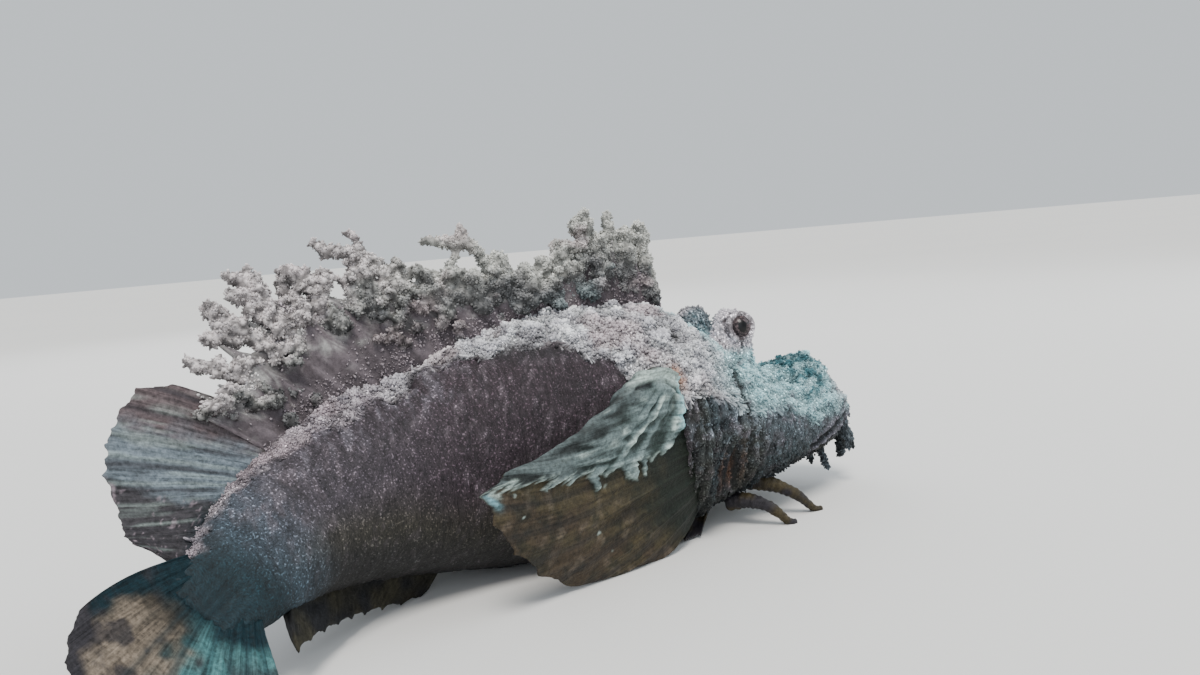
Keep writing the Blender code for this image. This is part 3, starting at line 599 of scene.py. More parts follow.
def fan(roots, tips, bow, outside=0, per=10, rows=44, notch=0.93, fray=0.03, thickness=(1.9, 0.35),
        ridge=0.4, billow=0.4, seed=0, on_floor=True, coat=None):
    """A fin as a closed two-sided sheet over (ray number, reach).

    Lines run from root to tip with a bow, and reach less far between the rays, to a frayed margin. The
    sheet thins towards its edge, rises to a ridge on each ray, and billows between them. outside is 1 or -1
    where the first face has to look to the left or right, and coat gives a height to add to each face.
    notch is how far the margin reaches midway between two rays, and fray how much it varies, as parts of a
    ray's length. Returns points, triangles, ray number, reach and face (1 or -1) of each point.
    """
    roots, tips, bow = (np.asarray(a, float) for a in (roots, tips, bow))
    ray = np.linspace(0, len(roots) - 1, (len(roots) - 1) * per + 1)
    share = np.linspace(0, 1, rows)[None, :]
    off_ray = (4 * (ray % 1) * (1 - ray % 1))[:, None]
    wear = noise(xyz(ray * 4, 0, seed * 7.3), 1.0, seed)[:, None]
    wear = wear + 0.5 * noise(xyz(ray * 11, 0, seed), 1.0, seed + 1)[:, None]
    reach = (1 - (1 - notch) * off_ray**0.6 - fray * (wear + 0.4)) * share
    reach = reach[..., None]
    start, end, lean = at_rays(roots, ray), at_rays(tips, ray), at_rays(bow, ray)
    grid = start + (end - start) * reach + lean * 4 * reach * (1 - reach)
    middle = carry(grid[..., 0], grid[..., 1], grid[..., 2])
    if on_floor:
        middle = laid(middle)
    normal = np.cross(np.gradient(middle, axis=0), np.gradient(middle, axis=1))
    normal /= np.linalg.norm(normal, axis=-1)[..., None] + 1e-12
    if outside:
        plain = carry(grid[..., 0], grid[..., 1], grid[..., 2])
        left = carry(grid[..., 0], grid[..., 1] + 1, grid[..., 2]) - plain
        if np.sum(left * normal) * outside < 0:
            normal = -normal
    swell = billow * off_ray * np.sin(np.pi * np.clip(share * 1.1, 0, 1)) * noise(middle, 9, seed + 3)
    middle = middle + normal * (swell + 0.25 * share * noise(middle, 3.5, seed + 4))[..., None]
    beside = np.abs(ray - np.round(ray))[:, None]
    half = (thickness[0] + (thickness[1] - thickness[0]) * share**0.7) / 2
    half = half + ridge * (1 - 0.6 * share) * spot(beside, 0.16) + 0.06 * noise(middle, 0.9, seed + 5)
    half = half * (1 - 0.5 * ease(share, 0.94, 1))
    push = coat(ray[:, None] + 0 * share, share + 0 * ray[:, None], middle) if coat else (0, 0)
    front = middle + normal * (half + push[0])[..., None]
    back = middle - normal * (half + push[1])[..., None]
    columns = len(ray)
    index = np.arange(columns * rows).reshape(columns, rows)
    a, b, c, d = index[:-1, :-1], index[1:, :-1], index[1:, 1:], index[:-1, 1:]
    face = np.concatenate([np.stack(corners, -1).reshape(-1, 3) for corners in ((a, b, c), (a, c, d))])
    rim = np.concatenate([index[:, 0], index[-1, 1:], index[-2::-1, -1], index[0, -2:0:-1]])
    after, low = np.roll(rim, -1), columns * rows
    edge = np.concatenate([np.stack([rim, after, after + low], -1),
                           np.stack([rim, after + low, rim + low], -1)])
    faces = np.concatenate([face, face[:, ::-1] + low, edge[:, ::-1]])
    points = np.concatenate([front.reshape(-1, 3), back.reshape(-1, 3)])
    number = np.tile(np.repeat(ray, rows), 2)
    out = np.tile(np.tile(share[0], columns), 2)
    side = np.repeat([1.0, -1.0], columns * rows)
    return points, outward(points, faces), number, out, side


def scattered(points, faces, weight, count, chance):
    """Random places on a mesh, drawn by area times a weight: positions, normals, corners and shares."""
    a, b, c = (points[faces[:, k]] for k in range(3))
    area = np.linalg.norm(np.cross(b - a, c - a), axis=1) * weight[faces].mean(1)
    edge = np.cumsum(area)
    pick = np.clip(np.searchsorted(edge, chance.uniform(0, edge[-1], count)), 0, len(faces) - 1)
    u, v = chance.uniform(0, 1, (2, count))
    fold = u + v > 1
    u, v = np.where(fold, 1 - u, u), np.where(fold, 1 - v, v)
    shares = np.stack([1 - u - v, u, v], -1)
    corners = faces[pick]
    at = np.einsum("nk,nkx->nx", shares, points[corners])
    facing = np.einsum("nk,nkx->nx", shares, normals(points, faces)[corners])
    facing /= np.linalg.norm(facing, axis=1)[:, None] + 1e-12
    return at, facing, corners, shares


TUFT_RINGS = 2
TUFT_SIDES = 5
LARGEST_TUFT = 1.9              # as a part of the usual size


def tufts(roots, facing, length, radius, chance, lean):
    """Short blunt fingers, each a ring of points carried along a bent path from under its root to its tip.

    Radii and corners are varied at random. Returns points[tuft, point, xyz], triangles, how far up the tuft
    each point is, and its place in a round patch.
    """
    count = len(roots)
    t = np.linspace(0, 1, TUFT_RINGS)
    facing = facing + lean
    facing = facing / np.linalg.norm(facing, axis=1)[:, None]
    across, other = side_frames(facing)
    sway = chance.normal(0, 0.35, (count, 2))
    bend = across * sway[:, :1] + other * sway[:, 1:]
    reach = length[:, None] * t - 0.4 * radius[:, None]
    centre = (roots[:, None] + facing[:, None] * reach[..., None]
              + bend[:, None] * (length[:, None] * t**2)[..., None])
    size = radius[:, None] * (1 - 0.2 * t) * chance.uniform(0.8, 1.2, (count, TUFT_RINGS))
    angle = np.arange(TUFT_SIDES) / TUFT_SIDES * 2 * math.pi + chance.uniform(0, 6.3, (count, 1, 1))
    size = size[..., None] * chance.uniform(0.85, 1.15, (count, TUFT_RINGS, TUFT_SIDES))
    ring = (centre[:, :, None] + (size * np.cos(angle))[..., None] * across[:, None, None]
            + (size * np.sin(angle))[..., None] * other[:, None, None])
    tip = centre[:, -1] + (facing + bend * 1.5) * (radius * 0.5)[:, None]
    points = np.concatenate([ring.reshape(count, -1, 3), centre[:, :1], tip[:, None]], 1)
    points[..., 2] = np.maximum(points[..., 2], FLOOR + 0.1)
    shape, one = closed_tube(np.zeros((TUFT_RINGS, TUFT_SIDES, 3)))
    faces = (one[None] + (np.arange(count) * len(shape))[:, None, None]).reshape(-1, 3)
    a, b, c = (points.reshape(-1, 3)[faces[:len(one), k]] for k in range(3))
    if np.einsum("ij,ij->i", a - roots[0], np.cross(b - roots[0], c - roots[0])).sum() < 0:
        faces = faces[:, ::-1]
    up = np.concatenate([np.repeat(t, TUFT_SIDES), [0, 1]])
    turn = np.concatenate([np.tile(np.arange(TUFT_SIDES) / TUFT_SIDES * 2 * math.pi, TUFT_RINGS), [0, 0]])
    wide = np.concatenate([np.repeat(1 - 0.7 * t, TUFT_SIDES), [1, 0]])
    patch = np.stack([wide * np.cos(turn), wide * np.sin(turn)], -1)
    return points, faces, np.broadcast_to(up, (count, len(up))), patch


PATCH = 0.0015                  # radius of a tuft's patch on its map
UNWRAP_LENGTH = 240.0


def body_map(roots):
    """Where roots lie on the unwrapped body: place along it, and angle round it from the belly."""
    s, side, height = uncarry(roots)
    top, bottom, half = outline(np.clip(s, 1, STANDARD_LENGTH))[:3]
    round_body = np.arctan2(side / half, (height - (top + bottom) / 2) / ((top - bottom) / 2))
    return np.stack([0.01 + 0.98 * np.clip(s / UNWRAP_LENGTH, 0, 1), 0.5 + 0.49 * round_body / math.pi], -1)


def coat(name, built, colours, place, where, material, slot):
    """A piece of coat from tufts, with its markings and its map, where each tuft is a small round patch."""
    points, faces, up, patch = built
    each = points.shape[1]
    mesh = bpy.data.meshes.new(name)
    fill(mesh, points.reshape(-1, 3), faces)
    # Painted shade: each tuft is darker at its base, down among the others, and paler towards its tip.
    shade = colours[:, None] * (0.7 + 0.3 * up[..., None]) + 0.03 * up[..., None]
    mark(mesh, shade.reshape(-1, 3), np.repeat(place, each, 0))
    layer = mesh.uv_layers.new(name="OFBake")
    flat = (where[:, None] + PATCH * patch[None]).reshape(-1, 2)
    layer.data.foreach_set("uv", flat[faces.ravel()].astype(np.float32).ravel())
    return show(name, mesh, material)


def tone(name):
    """A colour of the panel, as linear values."""
    return np.array(getattr(bpy.context.scene.devilfish_colours, name)[:3])


def size(name):
    """A size of the panel, in millimetres."""
    return getattr(bpy.context.scene.devilfish_sizes, name) * 1000


def crust_share(points):
    """How much crust covers each point: all above a ragged edge along the body, none below."""
    s, _, height = uncarry(points)
    wobble = 2.0 * noise(points, 7.0, 31) + 1.7 * noise(points, 2.4, 32)
    soft = 1.4 * ease(66 - s, 0, 12)
    return ease((height + wobble - along(CRUST_EDGE, s) + 0.8) / (2.4 + soft), 0, 1) * ease(192 - s, 0, 5)


def eye_near(points):
    """Distance from the nearer eye's centre."""
    return np.min([np.linalg.norm(points - eye_centre(sign), axis=1) for sign in (1, -1)], 0)


def cheek_groove(s, height, middle):
    """Distance from the short groove across the cheek, which runs as far up as down from a middle."""
    along_it = np.maximum(np.abs(height - middle) - GROOVE_HALF, 0)
    return np.hypot(s - (GROOVE_PLACE + GROOVE_LEAN * (GROOVE_TOP - height)), along_it)


def flesh_colour(points, s, side, height, level, cloud):
    """Bare skin: a purple-grey flank, olive and dark below, a blue-green stem, and a dark, crumbly head,
    with painted shade in the hollow behind the mouth and just under the crust's edge.
    """
    head = ease(74 - s + 4 * cloud, 0, 8)
    crumb = head * ease(level, 0.2, 0.55)
    hollow = oval(s, height, HOLLOW, (4.2, 5))
    rib = noise(xyz(s * 1.1, height / 9, 0), 1.0, 43)
    dusty = (0.2 + 0.8 * level) * ease(186 - s, 0, 12)
    lie = xyz(s * 0.9 + height * 0.4, height * 0.35, side * 0.35)
    below = along(CRUST_EDGE, s) - height
    fall = ease(9 - below, 0, 8) * ease(s, 112, 130) * ease(180 - s, 0, 12)
    rim = ease(4 - below, 0, 3) * ease(below + 2, 0, 2) * ease(s, 74, 82) * ease(120 - s, 0, 12)
    return layered(
        tone("slate"),
        ("blue_grey", 0.9 * ease(s + 8 * cloud, 118, 176)),
        ("olive", (0.85 - 0.4 * ease(s, 150, 190)) * ease(0.5 - level + 0.1 * cloud, 0, 0.3)),
        ("deep", 0.8 * ease(0.3 - level, 0, 0.24)),
        ("stem_blue", 0.7 * ease(s + 4 * cloud, 166, 180)),
        ("teal", 0.97 * ease(s + 4 * cloud, 175, 187)),
        ("cheek", 0.85 * head),
        ("deep", 0.6 * head * ease(0.42 - level, 0, 0.3)),
        ("deep", 0.8 * head * ease(rough(points, 4.5, 3, 45), 0.1, 0.7)),
        ("olive", 0.6 * head * ease(noise(points, 9.0, 46), -0.1, 0.5)),
        # Painted shade in the hollow behind the mouth, with the rust streaks laid over it.
        ("deep", 0.9 * hollow),
        ("rust", 0.75 * hollow * ease(rib, 0.0, 0.5)),
        ("dust", 0.42 * ease(rough(lie, 1.0, 3, 44), 0.2, 0.9) * dusty),
        ("deep", 0.35 * ease(rough(lie, 1.0, 3, 48), 0.3, 0.9)),
        ("crust_dark", 0.5 * fall * ease(rough(lie, 1.0, 3, 50), -0.2, 0.6)),
        # Painted shade just under the overhanging edge of the crust.
        ("deep", 0.45 * rim),
        ("fin_teal", 0.42 * ease(9 - below, 0, 8) * ease(64 - s, 0, 12)),
        ("fin_teal", 0.75 * crumb * ease(rough(points, 1.7, 2, 47), 0.25, 0.6)),
        ("crust_dark", 0.5 * crumb * ease(rough(points, 1.9, 2, 49), 0.35, 0.7)))


def crust_colour(points, s, height, cloud):
    """Crust: pale grey, blue-green and mottled on the head, pinkish behind it, darker to the rear."""
    snout = ease(26 - s, 0, 5) * ease(s, 8, 12) * ease(height + 0.5 * (s - 12), 34, 37)
    return layered(
        tone("crust"),
        ("crust_light", ease(rough(points, 4.0, 3, 51), -0.45, 0.6)),
        ("crust_rose", 0.6 * ease(noise(points, 7.0, 52), 0.05, 0.6) * ease(s, 52, 64)),
        ("crust_rear", 0.75 * ease(s + 8 * cloud, 122, 150)),
        ("crust_teal", 0.8 * ease(58 - s + 9 * cloud, 0, 20)),
        ("crust_dark", 0.8 * ease(rough(points, 2.4, 3, 55), 0.4, 1.0)),
        ("crust_rose", 0.7 * oval(s, height, (6, 33), (5.0, 6.0))),
        ("mottle", 0.92 * snout * ease(rough(points, 1.6, 2, 57), -0.4, 0.15)),
        ("mottle", 0.7 * ease(40 - s, 0, 10) * ease(rough(points, 1.3, 2, 59), 0.45, 0.7)),
        ("orange", 0.9 * oval(s, height, (70, 44), (2.0, 3.0))),
        ("olive", 0.7 * oval(s, height, (64.5, 52.5), (1.3, 3.0))))


def turret_colour(points, side):
    """Skin round the eyes: pale with dark specks, a dark ring round the ball, and bluer on the far side."""
    inner = ease(9.5 - np.abs(side), 0, 3)
    ring = EYE_RADIUS + 0.9 - eye_near(points) + 0.5 * noise(points, 1.2, 53)
    return layered(
        tone("turret"),
        ("speckle", 0.8 * ease(rough(points, 1.2, 2, 58), 0.25, 0.55)),
        ("speckle", 0.8 * ease(ring, 0, 0.5)),
        ("speckle", 0.6 * ease(np.abs(side), 11, 13) * ease(rough(points, 1.0, 2, 60), 0.2, 0.5)),
        ("cheek", 0.45 * (side > 0)),
        ("speckle", 0.35 * inner),
        ("mottle", 0.4 * inner))


def markings(points):
    """Colour of the skin and of what grows on it, with painted shade in the cheek's groove, the hollow
    behind the mouth, the mouth's slit and under the crust's edge, and the share of crust at each point.
    """
    s, side, height = uncarry(points)
    top, bottom = outline(np.clip(s, 1, STANDARD_LENGTH))[:2]
    level = np.clip((height - bottom) / (top - bottom), 0, 1)
    cloud = noise(points, 14.0, 41)
    share = crust_share(points)
    flesh = flesh_colour(points, s, side, height, level, cloud)
    colour = blend(flesh, crust_colour(points, s, height, cloud), share)
    # Painted shade in the groove across the cheek.
    groove = spot(cheek_groove(s, height, 37), 1.1) * (np.abs(side) > 12)
    colour = blend(colour, tone("deep"), 0.9 * groove)
    turret = ease(8.4 - eye_near(points), 0, 1.2) * ease(height, 45, 47.5)
    colour = blend(colour, turret_colour(points, side), turret)
    twig = ease(13 - s, 0, 5) * ease(bottom + 0.5 - height, 0, 2)
    mouth = ease(MOUTH_CORNER + 1 - s, 0, 2)
    from_mouth = height - mouth_height(s)
    return layered(
        colour,
        ("fin_teal", 0.5 * twig * ease(rough(points, 2.0, 2, 56), -0.6, 0.5)),
        ("lip", 0.7 * (spot(np.abs(from_mouth) - 1.7, 0.8) * mouth)),
        # Painted shade along the slit of the mouth.
        ("deep", spot(from_mouth, 0.7) * mouth)), share


def skin_relief(points):
    """How far the skin stands out of the plain body, in millimetres, and how high it is locally."""
    s, side, height = uncarry(points)
    wide = np.abs(side)
    share = crust_share(points)
    near_eye = ease(10.5 - eye_near(points), 0, 3) * ease(height, 43, 47)
    calm = 1 - 0.8 * near_eye
    crease = noise(xyz(s * 1.5, height / 5, side / 5), 1.0, 61)
    level = (height - along(BELLY, s)) / (along(BACK, s) - along(BELLY, s))
    flank = 0.22 * crease + 0.16 * rough(points, 2.2, 2, 62)
    flank = flank + 0.12 * np.cos(2 * math.pi * (CAUDAL_RAYS - 1) * level) * ease(s, 182, 192)
    bumps = knobs(points, 3.4, 64) + 0.5 * knobs(points, 1.7, 65) - 0.8
    lumps = (0.9 * rough(points, 8.0, 3, 63) + 1.3 * bumps - 0.4) * (1 - 0.65 * ease(s, 135, 165))
    head = ease(76 - s, 0, 8) * (1 - share)
    fold = np.sin(s * 1.9 + 2.2 * noise(points, 8.0, 66)) * ease(s, 40, 46) * ease(78 - s, 0, 6)
    fold = 0.75 * fold + 0.8 * knobs(points, 1.9, 67) + 0.2 * rough(points, 1.5, 2, 69) - 0.35
    out = flank * (1 - share) + calm * (lumps * share + head * fold)
    local = np.clip(flank * 1.6, -1, 1) * (1 - share) + calm * (1.1 * bumps * share + head * fold)
    groove = spot(cheek_groove(s, height, 37.5), 1.2) * (wide > 12)
    hollow = oval(s, height, HOLLOW, (5.0, 4.6)) * (wide > 14)
    shelf = oval(s, height, (54, 28.5), (8, 1.5)) * (wide > 14)
    pit_place, pit_height, pit_side = SNOUT_PIT
    pit = spot(np.sqrt((s - pit_place)**2 + (height - pit_height)**2 + (wide - pit_side)**2), 1.4)
    line = spot(height - mouth_height(s), 0.8) * ease(MOUTH_CORNER + 1 - s, 0, 3)
    snout = ease(27 - s, 0, 6) * ease(height, 30, 36)
    gill = s - (62.5 + 9 * (height - 11) / 31)
    flap = spot(gill + 1.5, 2.2) * ease(height, 5, 9) * ease(45 - height, 0, 4)
    out = out - 2.2 * groove - 2.6 * hollow + 1.2 * shelf - 2.4 * pit - 1.6 * line + 1.5 * flap
    out = out + snout * (1.2 * knobs(points, 2.4, 68) - 0.4)
    for place, rise, tall in HEAD_SPINES:
        out = out + tall * spot(np.hypot(s - place, height - rise), 1.3) * (wide > 6)
    return out, local - 1.5 * groove - 0.6 * hollow - 1.6 * pit - 1.6 * line + 0.5 * shelf


def clear_of_eyes(points):
    """Skin near each eye, shaped to lids: a socket just inside the ball with a raised fold round it."""
    for sign in (1, -1):
        centre, (across, rise, gaze) = eye_centre(sign), eye_axes(sign)
        apart = points - centre
        distance = np.linalg.norm(apart, axis=1) + 1e-9
        tilt = np.degrees(np.arctan2(np.hypot(1.3 * (apart @ across), apart @ rise), apart @ gaze))
        hold = ease(EYE_RADIUS + 3.5 - distance, 0, 1) * ease(88 - tilt, 0, 16)
        lid = EYE_RADIUS + along(LID_PROFILE, tilt)
        points = centre + apart * (1 + (lid / distance - 1) * hold)[:, None]
    return points


def body_tube():
    """The plain body as a closed tube of rings, whose end thins to a wedge inside the tail fin."""
    start = STANDARD_LENGTH - WEDGE
    s = np.concatenate([[0.02, 0.12, 0.3, 0.6, 1, 1.6, 2.4, 3.4, 4.6], np.arange(6, start, 1.2),
                        start + WEDGE * np.linspace(0, 1, 16)])
    angle = np.arange(120) / 120 * 2 * math.pi
    place, turn = np.meshgrid(s, angle, indexing="ij")
    side, height = section(np.minimum(place, STANDARD_LENGTH), turn)
    past = np.clip((place - start) / WEDGE, 0, 1)
    middle = (along(BACK, STANDARD_LENGTH) + along(BELLY, STANDARD_LENGTH)) / 2
    side = side * (1 - 0.84 * ease(past, 0, 1))
    height = middle + (height - middle) * (1 - 0.12 * past)
    return closed_tube(carry(place, side, height))


def lip_path(offset):
    """The line of a lip round the front of the mouth, above or below the mouth plane."""
    s = np.linspace(0.2, MOUTH_CORNER - 0.5, 240)
    half = side_at(s, mouth_height(s) + offset)
    start = int(np.argmax(half > 0.4))
    s, half = s[start:], half[start:]
    run = np.concatenate([[0], np.cumsum(np.hypot(np.diff(s), np.diff(half)))])
    steps = np.linspace(0, run[-1], 40)
    s, half = np.interp(steps, run, s), np.interp(steps, run, half)
    s = np.concatenate([s[:0:-1], s[:1], s[1:]])
    side = np.concatenate([half[:0:-1], [0], -half[1:]])
    return carry(s, side, mouth_height(s) + offset)


def flesh_parts():
    """Every closed shape that the skin wraps: body, turrets, lids, lips, nostrils and chin tassels."""
    parts = [body_tube()]
    for offset in (LIP_OFFSET, -LIP_OFFSET):
        path = lip_path(offset)
        fade = np.linspace(-1, 1, len(path))
        parts.append(rope(path, LIP_RADIUS * (1 - 0.45 * fade**4)))
    for sign in (1, -1):
        low, high = TURRET_PROFILE[0][0], TURRET_PROFILE[-1][0]
        foot = carry(EYE_PLACE, sign * (TURRET_SIDE - 1.0), low)
        up = bearing(EYE_PLACE, 0.0, sign * 0.08, 1.0)
        level = np.linspace(low, high, 24)
        profile = list(zip(level - low, along(TURRET_PROFILE, level)))
        parts.append(revolved(foot, up, profile))
        s, height = NOSTRIL
        rim = carry(s, sign * float(side_at(s, height)), height)
        parts.append(ring_round(rim, bearing(s, -0.2, sign * 0.7, 0.7), 1.7, 0.7))
    for place, side, direction, length, radius in CHIN_TASSELS:
        root = carry(place, side, under_at(place, side) + radius)
        reach = np.linspace(0, 1, 16)
        path = root + (length + radius) * reach[:, None] * bearing(place, *direction)
        path[:, 2] -= 0.25 * length * reach**2
        knotted = [1, 1.15, .75, 1.0, .6, .85, .35]
        parts.append(rope(path, radius * np.interp(reach, np.linspace(0, 1, len(knotted)), knotted)))
        for at, lean in ((5, 0.8), (8, -0.7)):
            aside = bearing(place, lean, 0.3 * lean, -0.7)
            twig = path[at] + np.linspace(0, 1, 5)[:, None] * radius * 1.9 * aside
            parts.append(rope(twig, radius * np.linspace(0.5, 0.25, 5), 8))
    return parts


def wrapped(parts, cell):
    """One skin round closed shapes: they are fused on a grid of cells and smoothed, in millimetres."""
    points, faces = joined(parts)
    mesh = bpy.data.meshes.new("wrap")
    fill(mesh, points, faces)
    thing = bpy.data.objects.new("wrap", mesh)
    bpy.context.scene.collection.objects.link(thing)
    fuse = thing.modifiers.new("fuse", "REMESH")
    fuse.mode = "VOXEL"
    fuse.voxel_size = cell * 0.001
    soften = thing.modifiers.new("soften", "SMOOTH")
    soften.iterations = 3
    bpy.context.view_layer.update()
    ready = bpy.data.meshes.new_from_object(thing.evaluated_get(bpy.context.evaluated_depsgraph_get()))
    bpy.data.objects.remove(thing)
    points, faces = read(ready)
    bpy.data.meshes.remove(ready)
    return points, faces


def read(mesh):
    """Points in millimetres and triangles of a mesh."""
    co = np.empty(len(mesh.vertices) * 3)
    mesh.vertices.foreach_get("co", co)
    mesh.calc_loop_triangles()
    corners = np.empty(len(mesh.loop_triangles) * 3, np.int32)
    mesh.loop_triangles.foreach_get("vertices", corners)
    return co.reshape(-1, 3) * 1000 + SHIFT, corners.reshape(-1, 3).astype(np.int64)


def place_of(points):
    """Body place of points, for patterns that follow the body: place, way round from the back, height."""
    s, side, height = uncarry(points)
    top, bottom = outline(np.clip(s, 1, STANDARD_LENGTH))[:2]
    round_back = np.arctan2(side, height - (top + bottom) / 2)
    return xyz(s, round_back * 25, height)


def back_rays(places, sweep, rise):
    """Roots and tips of the rays of a fin along the back."""
    foot = along(BACK, places) - SINK
    roots = xyz(places, 0, foot)
    top = along(BACK, places) + along(rise, places)
    tips = xyz(places + along(sweep, places), 0, top)
    return roots, tips


BUD = ((-0.7, 0.7), (0.0, 1.0), (0.7, 0.7))


def bud(at, radius):
    """A small round knob: a blunt profile turned about the vertical."""
    return revolved(at, (0.0, 0.0, 1.0), [(radius * up, radius * wide) for up, wide in BUD], 8)


def crest_parts():
    """Every closed shape of the crest's growth: branches, buds that crowd round them, and loose clumps."""
    chance = np.random.default_rng(11)
    parts = []
    for stops, radius in CREST_BRANCHES:
        share = np.linspace(0, 1, 4 * len(stops))
        even = np.linspace(0, 1, len(stops))
        way = [np.interp(share, even, [stop[k] for stop in stops]) for k in range(3)]
        path = carry(*way) + chance.normal(0, 0.12 * radius, (len(share), 3))
        radii = radius * np.interp(share, [0, 0.5, 0.85, 1], [1, 0.9, 0.95, 0.6])
        parts.append(rope(path, radii * chance.uniform(0.8, 1.15, len(share))))
        length = np.linalg.norm(path[-1] - path[0])
        for _ in range(int(2.2 * length / radius) + 3):
            at = int(chance.integers(0, len(path)))
            away = chance.normal(0, 1, 3) + [0, 0, 0.3]
            away /= np.linalg.norm(away)
            parts.append(bud(path[at] + 0.95 * radii[at] * away, radius * chance.uniform(0.4, 0.75)))
    for _ in range(420):
        s, share = chance.uniform(57, 159), chance.beta(1.9, 1.3)
        if (61 < s < 71 and share < 0.88) or (128 < s < 146 and share < 0.45):
            continue
        if share > 0.5 and s > 122 and noise(np.array([[s, 0, 30 * share]]), 4.0, 74)[0] < -0.05:
            continue
        height = float(along(BACK, s) + along(SPINE_RISE, s) * share)
        side = chance.choice([-1, 1]) * chance.uniform(0.6, 2.0) * (1.3 - 0.6 * share)
        at = carry(s + float(along(SPINE_SWEEP, s)) * share, side, height)
        for _ in range(3):
            parts.append(bud(at + chance.normal(0, 1.0, 3), chance.uniform(0.7, 1.6)))
    return parts


# Materials of the fish

def silted_skin():
    """Fish skin under slime and fine silt: matt and grainy, with hair-fine streaks across the flank."""
    material, tree, shader = blank("Silted skin", 0.72, 0.35)
    marks = add(tree, "Attribute", {"attribute_name": "markings"}).outputs["Color"]
    body = add(tree, "Attribute", {"attribute_name": "body_place"}).outputs["Vector"]
    here = add(tree, "TexCoord").outputs["Object"]
    # Streaks 0.4 mm apart and about 1.5 mm long, leaning back towards the belly.
    lie = add(tree, "Mapping", Vector=body, Rotation=(0, 0, 0.35), Scale=(2.6, 0.65, 0.65)).outputs[0]
    streak = add(tree, "TexNoise", Vector=lie, Scale=1.0, Detail=3.0, Roughness=0.65).outputs[0]
    grain = add(tree, "TexNoise", Vector=here, Scale=1400.0, Detail=3.0, Roughness=0.7).outputs[0]
    speck = add(tree, "TexNoise", Vector=here, Scale=2300.0, Detail=1.0, Roughness=0.4).outputs[0]
    shade = add(tree, "MapRange", Value=streak, From_Min=0.35, From_Max=0.65,
                To_Min=0.45, To_Max=1.5).outputs[0]
    lit = add(tree, "VectorMath", {"operation": "SCALE"}, _0=marks, Scale=shade).outputs[0]
    place = add(tree, "SeparateXYZ", Vector=body).outputs[0]
    most = add(tree, "MapRange", Value=place, From_Min=178, From_Max=190, To_Min=3.6, To_Max=1.2).outputs[0]
    fleck = add(tree, "MapRange", Value=speck, From_Min=0.6, From_Max=0.7,
                To_Min=0.93, To_Max=most).outputs[0]
    colour = add(tree, "VectorMath", {"operation": "SCALE"}, _0=lit, Scale=fleck).outputs[0]
    relief = add(tree, "Math", {"operation": "ADD"}, _0=grain, _1=streak).outputs[0]
    tree.links.new(colour, shader.inputs["Base Color"])
    bump = add(tree, "Bump", Height=relief, Strength=0.55, Distance=0.0005).outputs[0]
    tree.links.new(bump, shader.inputs["Normal"])
    return material


def algal_crust():
    """Crust of silt and short algae: dull, soft and crumbly, with painted shade in its markings that leaves
    it paler at its tips.
    """
    material, tree, shader = blank("Algal crust", 0.95, 0.2)
    marks = add(tree, "Attribute", {"attribute_name": "markings"}).outputs["Color"]
    here = add(tree, "TexCoord").outputs["Object"]
    # Crumbs of 1 mm and grains of 0.3 mm.
    crumb = add(tree, "TexNoise", Vector=here, Scale=1000.0, Detail=4.0, Roughness=0.7).outputs[0]
    shade = add(tree, "MapRange", Value=crumb, From_Min=0.3, From_Max=0.7,
                To_Min=0.65, To_Max=1.25).outputs[0]
    lit = add(tree, "VectorMath", {"operation": "SCALE"}, _0=marks, Scale=shade).outputs[0]
    grain = add(tree, "TexNoise", Vector=here, Scale=3300.0, Detail=2.0, Roughness=0.6).outputs[0]
    tree.links.new(lit, shader.inputs["Base Color"])
    bump = add(tree, "Bump", Height=grain, Strength=0.6, Distance=0.0003).outputs[0]
    tree.links.new(bump, shader.inputs["Normal"])
    return material


def fin_membrane(name, roughness):
    """Leathery fin membrane, a little wet, streaked along its rays."""
    material, tree, shader = blank(name, roughness, 0.18)
    marks = add(tree, "Attribute", {"attribute_name": "markings"}).outputs["Color"]
    body = add(tree, "Attribute", {"attribute_name": "body_place"}).outputs["Vector"]
    here = add(tree, "TexCoord").outputs["Object"]
    # Streaks along the rays, eight between one ray and the next.
    lie = add(tree, "Mapping", Vector=body, Scale=(8.0, 3.0, 1.0)).outputs[0]
    streak = add(tree, "TexNoise", Vector=lie, Scale=1.0, Detail=3.0, Roughness=0.6).outputs[0]
    grain = add(tree, "TexNoise", Vector=here, Scale=1200.0, Detail=3.0, Roughness=0.65).outputs[0]
    both = add(tree, "Math", {"operation": "ADD"}, _0=streak, _1=grain).outputs[0]
    shade = add(tree, "MapRange", Value=both, From_Min=0.75, From_Max=1.25,
                To_Min=0.45, To_Max=1.5).outputs[0]
    lit = add(tree, "VectorMath", {"operation": "SCALE"}, _0=marks, Scale=shade).outputs[0]
    tree.links.new(lit, shader.inputs["Base Color"])
    bump = add(tree, "Bump", Height=both, Strength=0.7, Distance=0.0004).outputs[0]
    tree.links.new(bump, shader.inputs["Normal"])
    return material


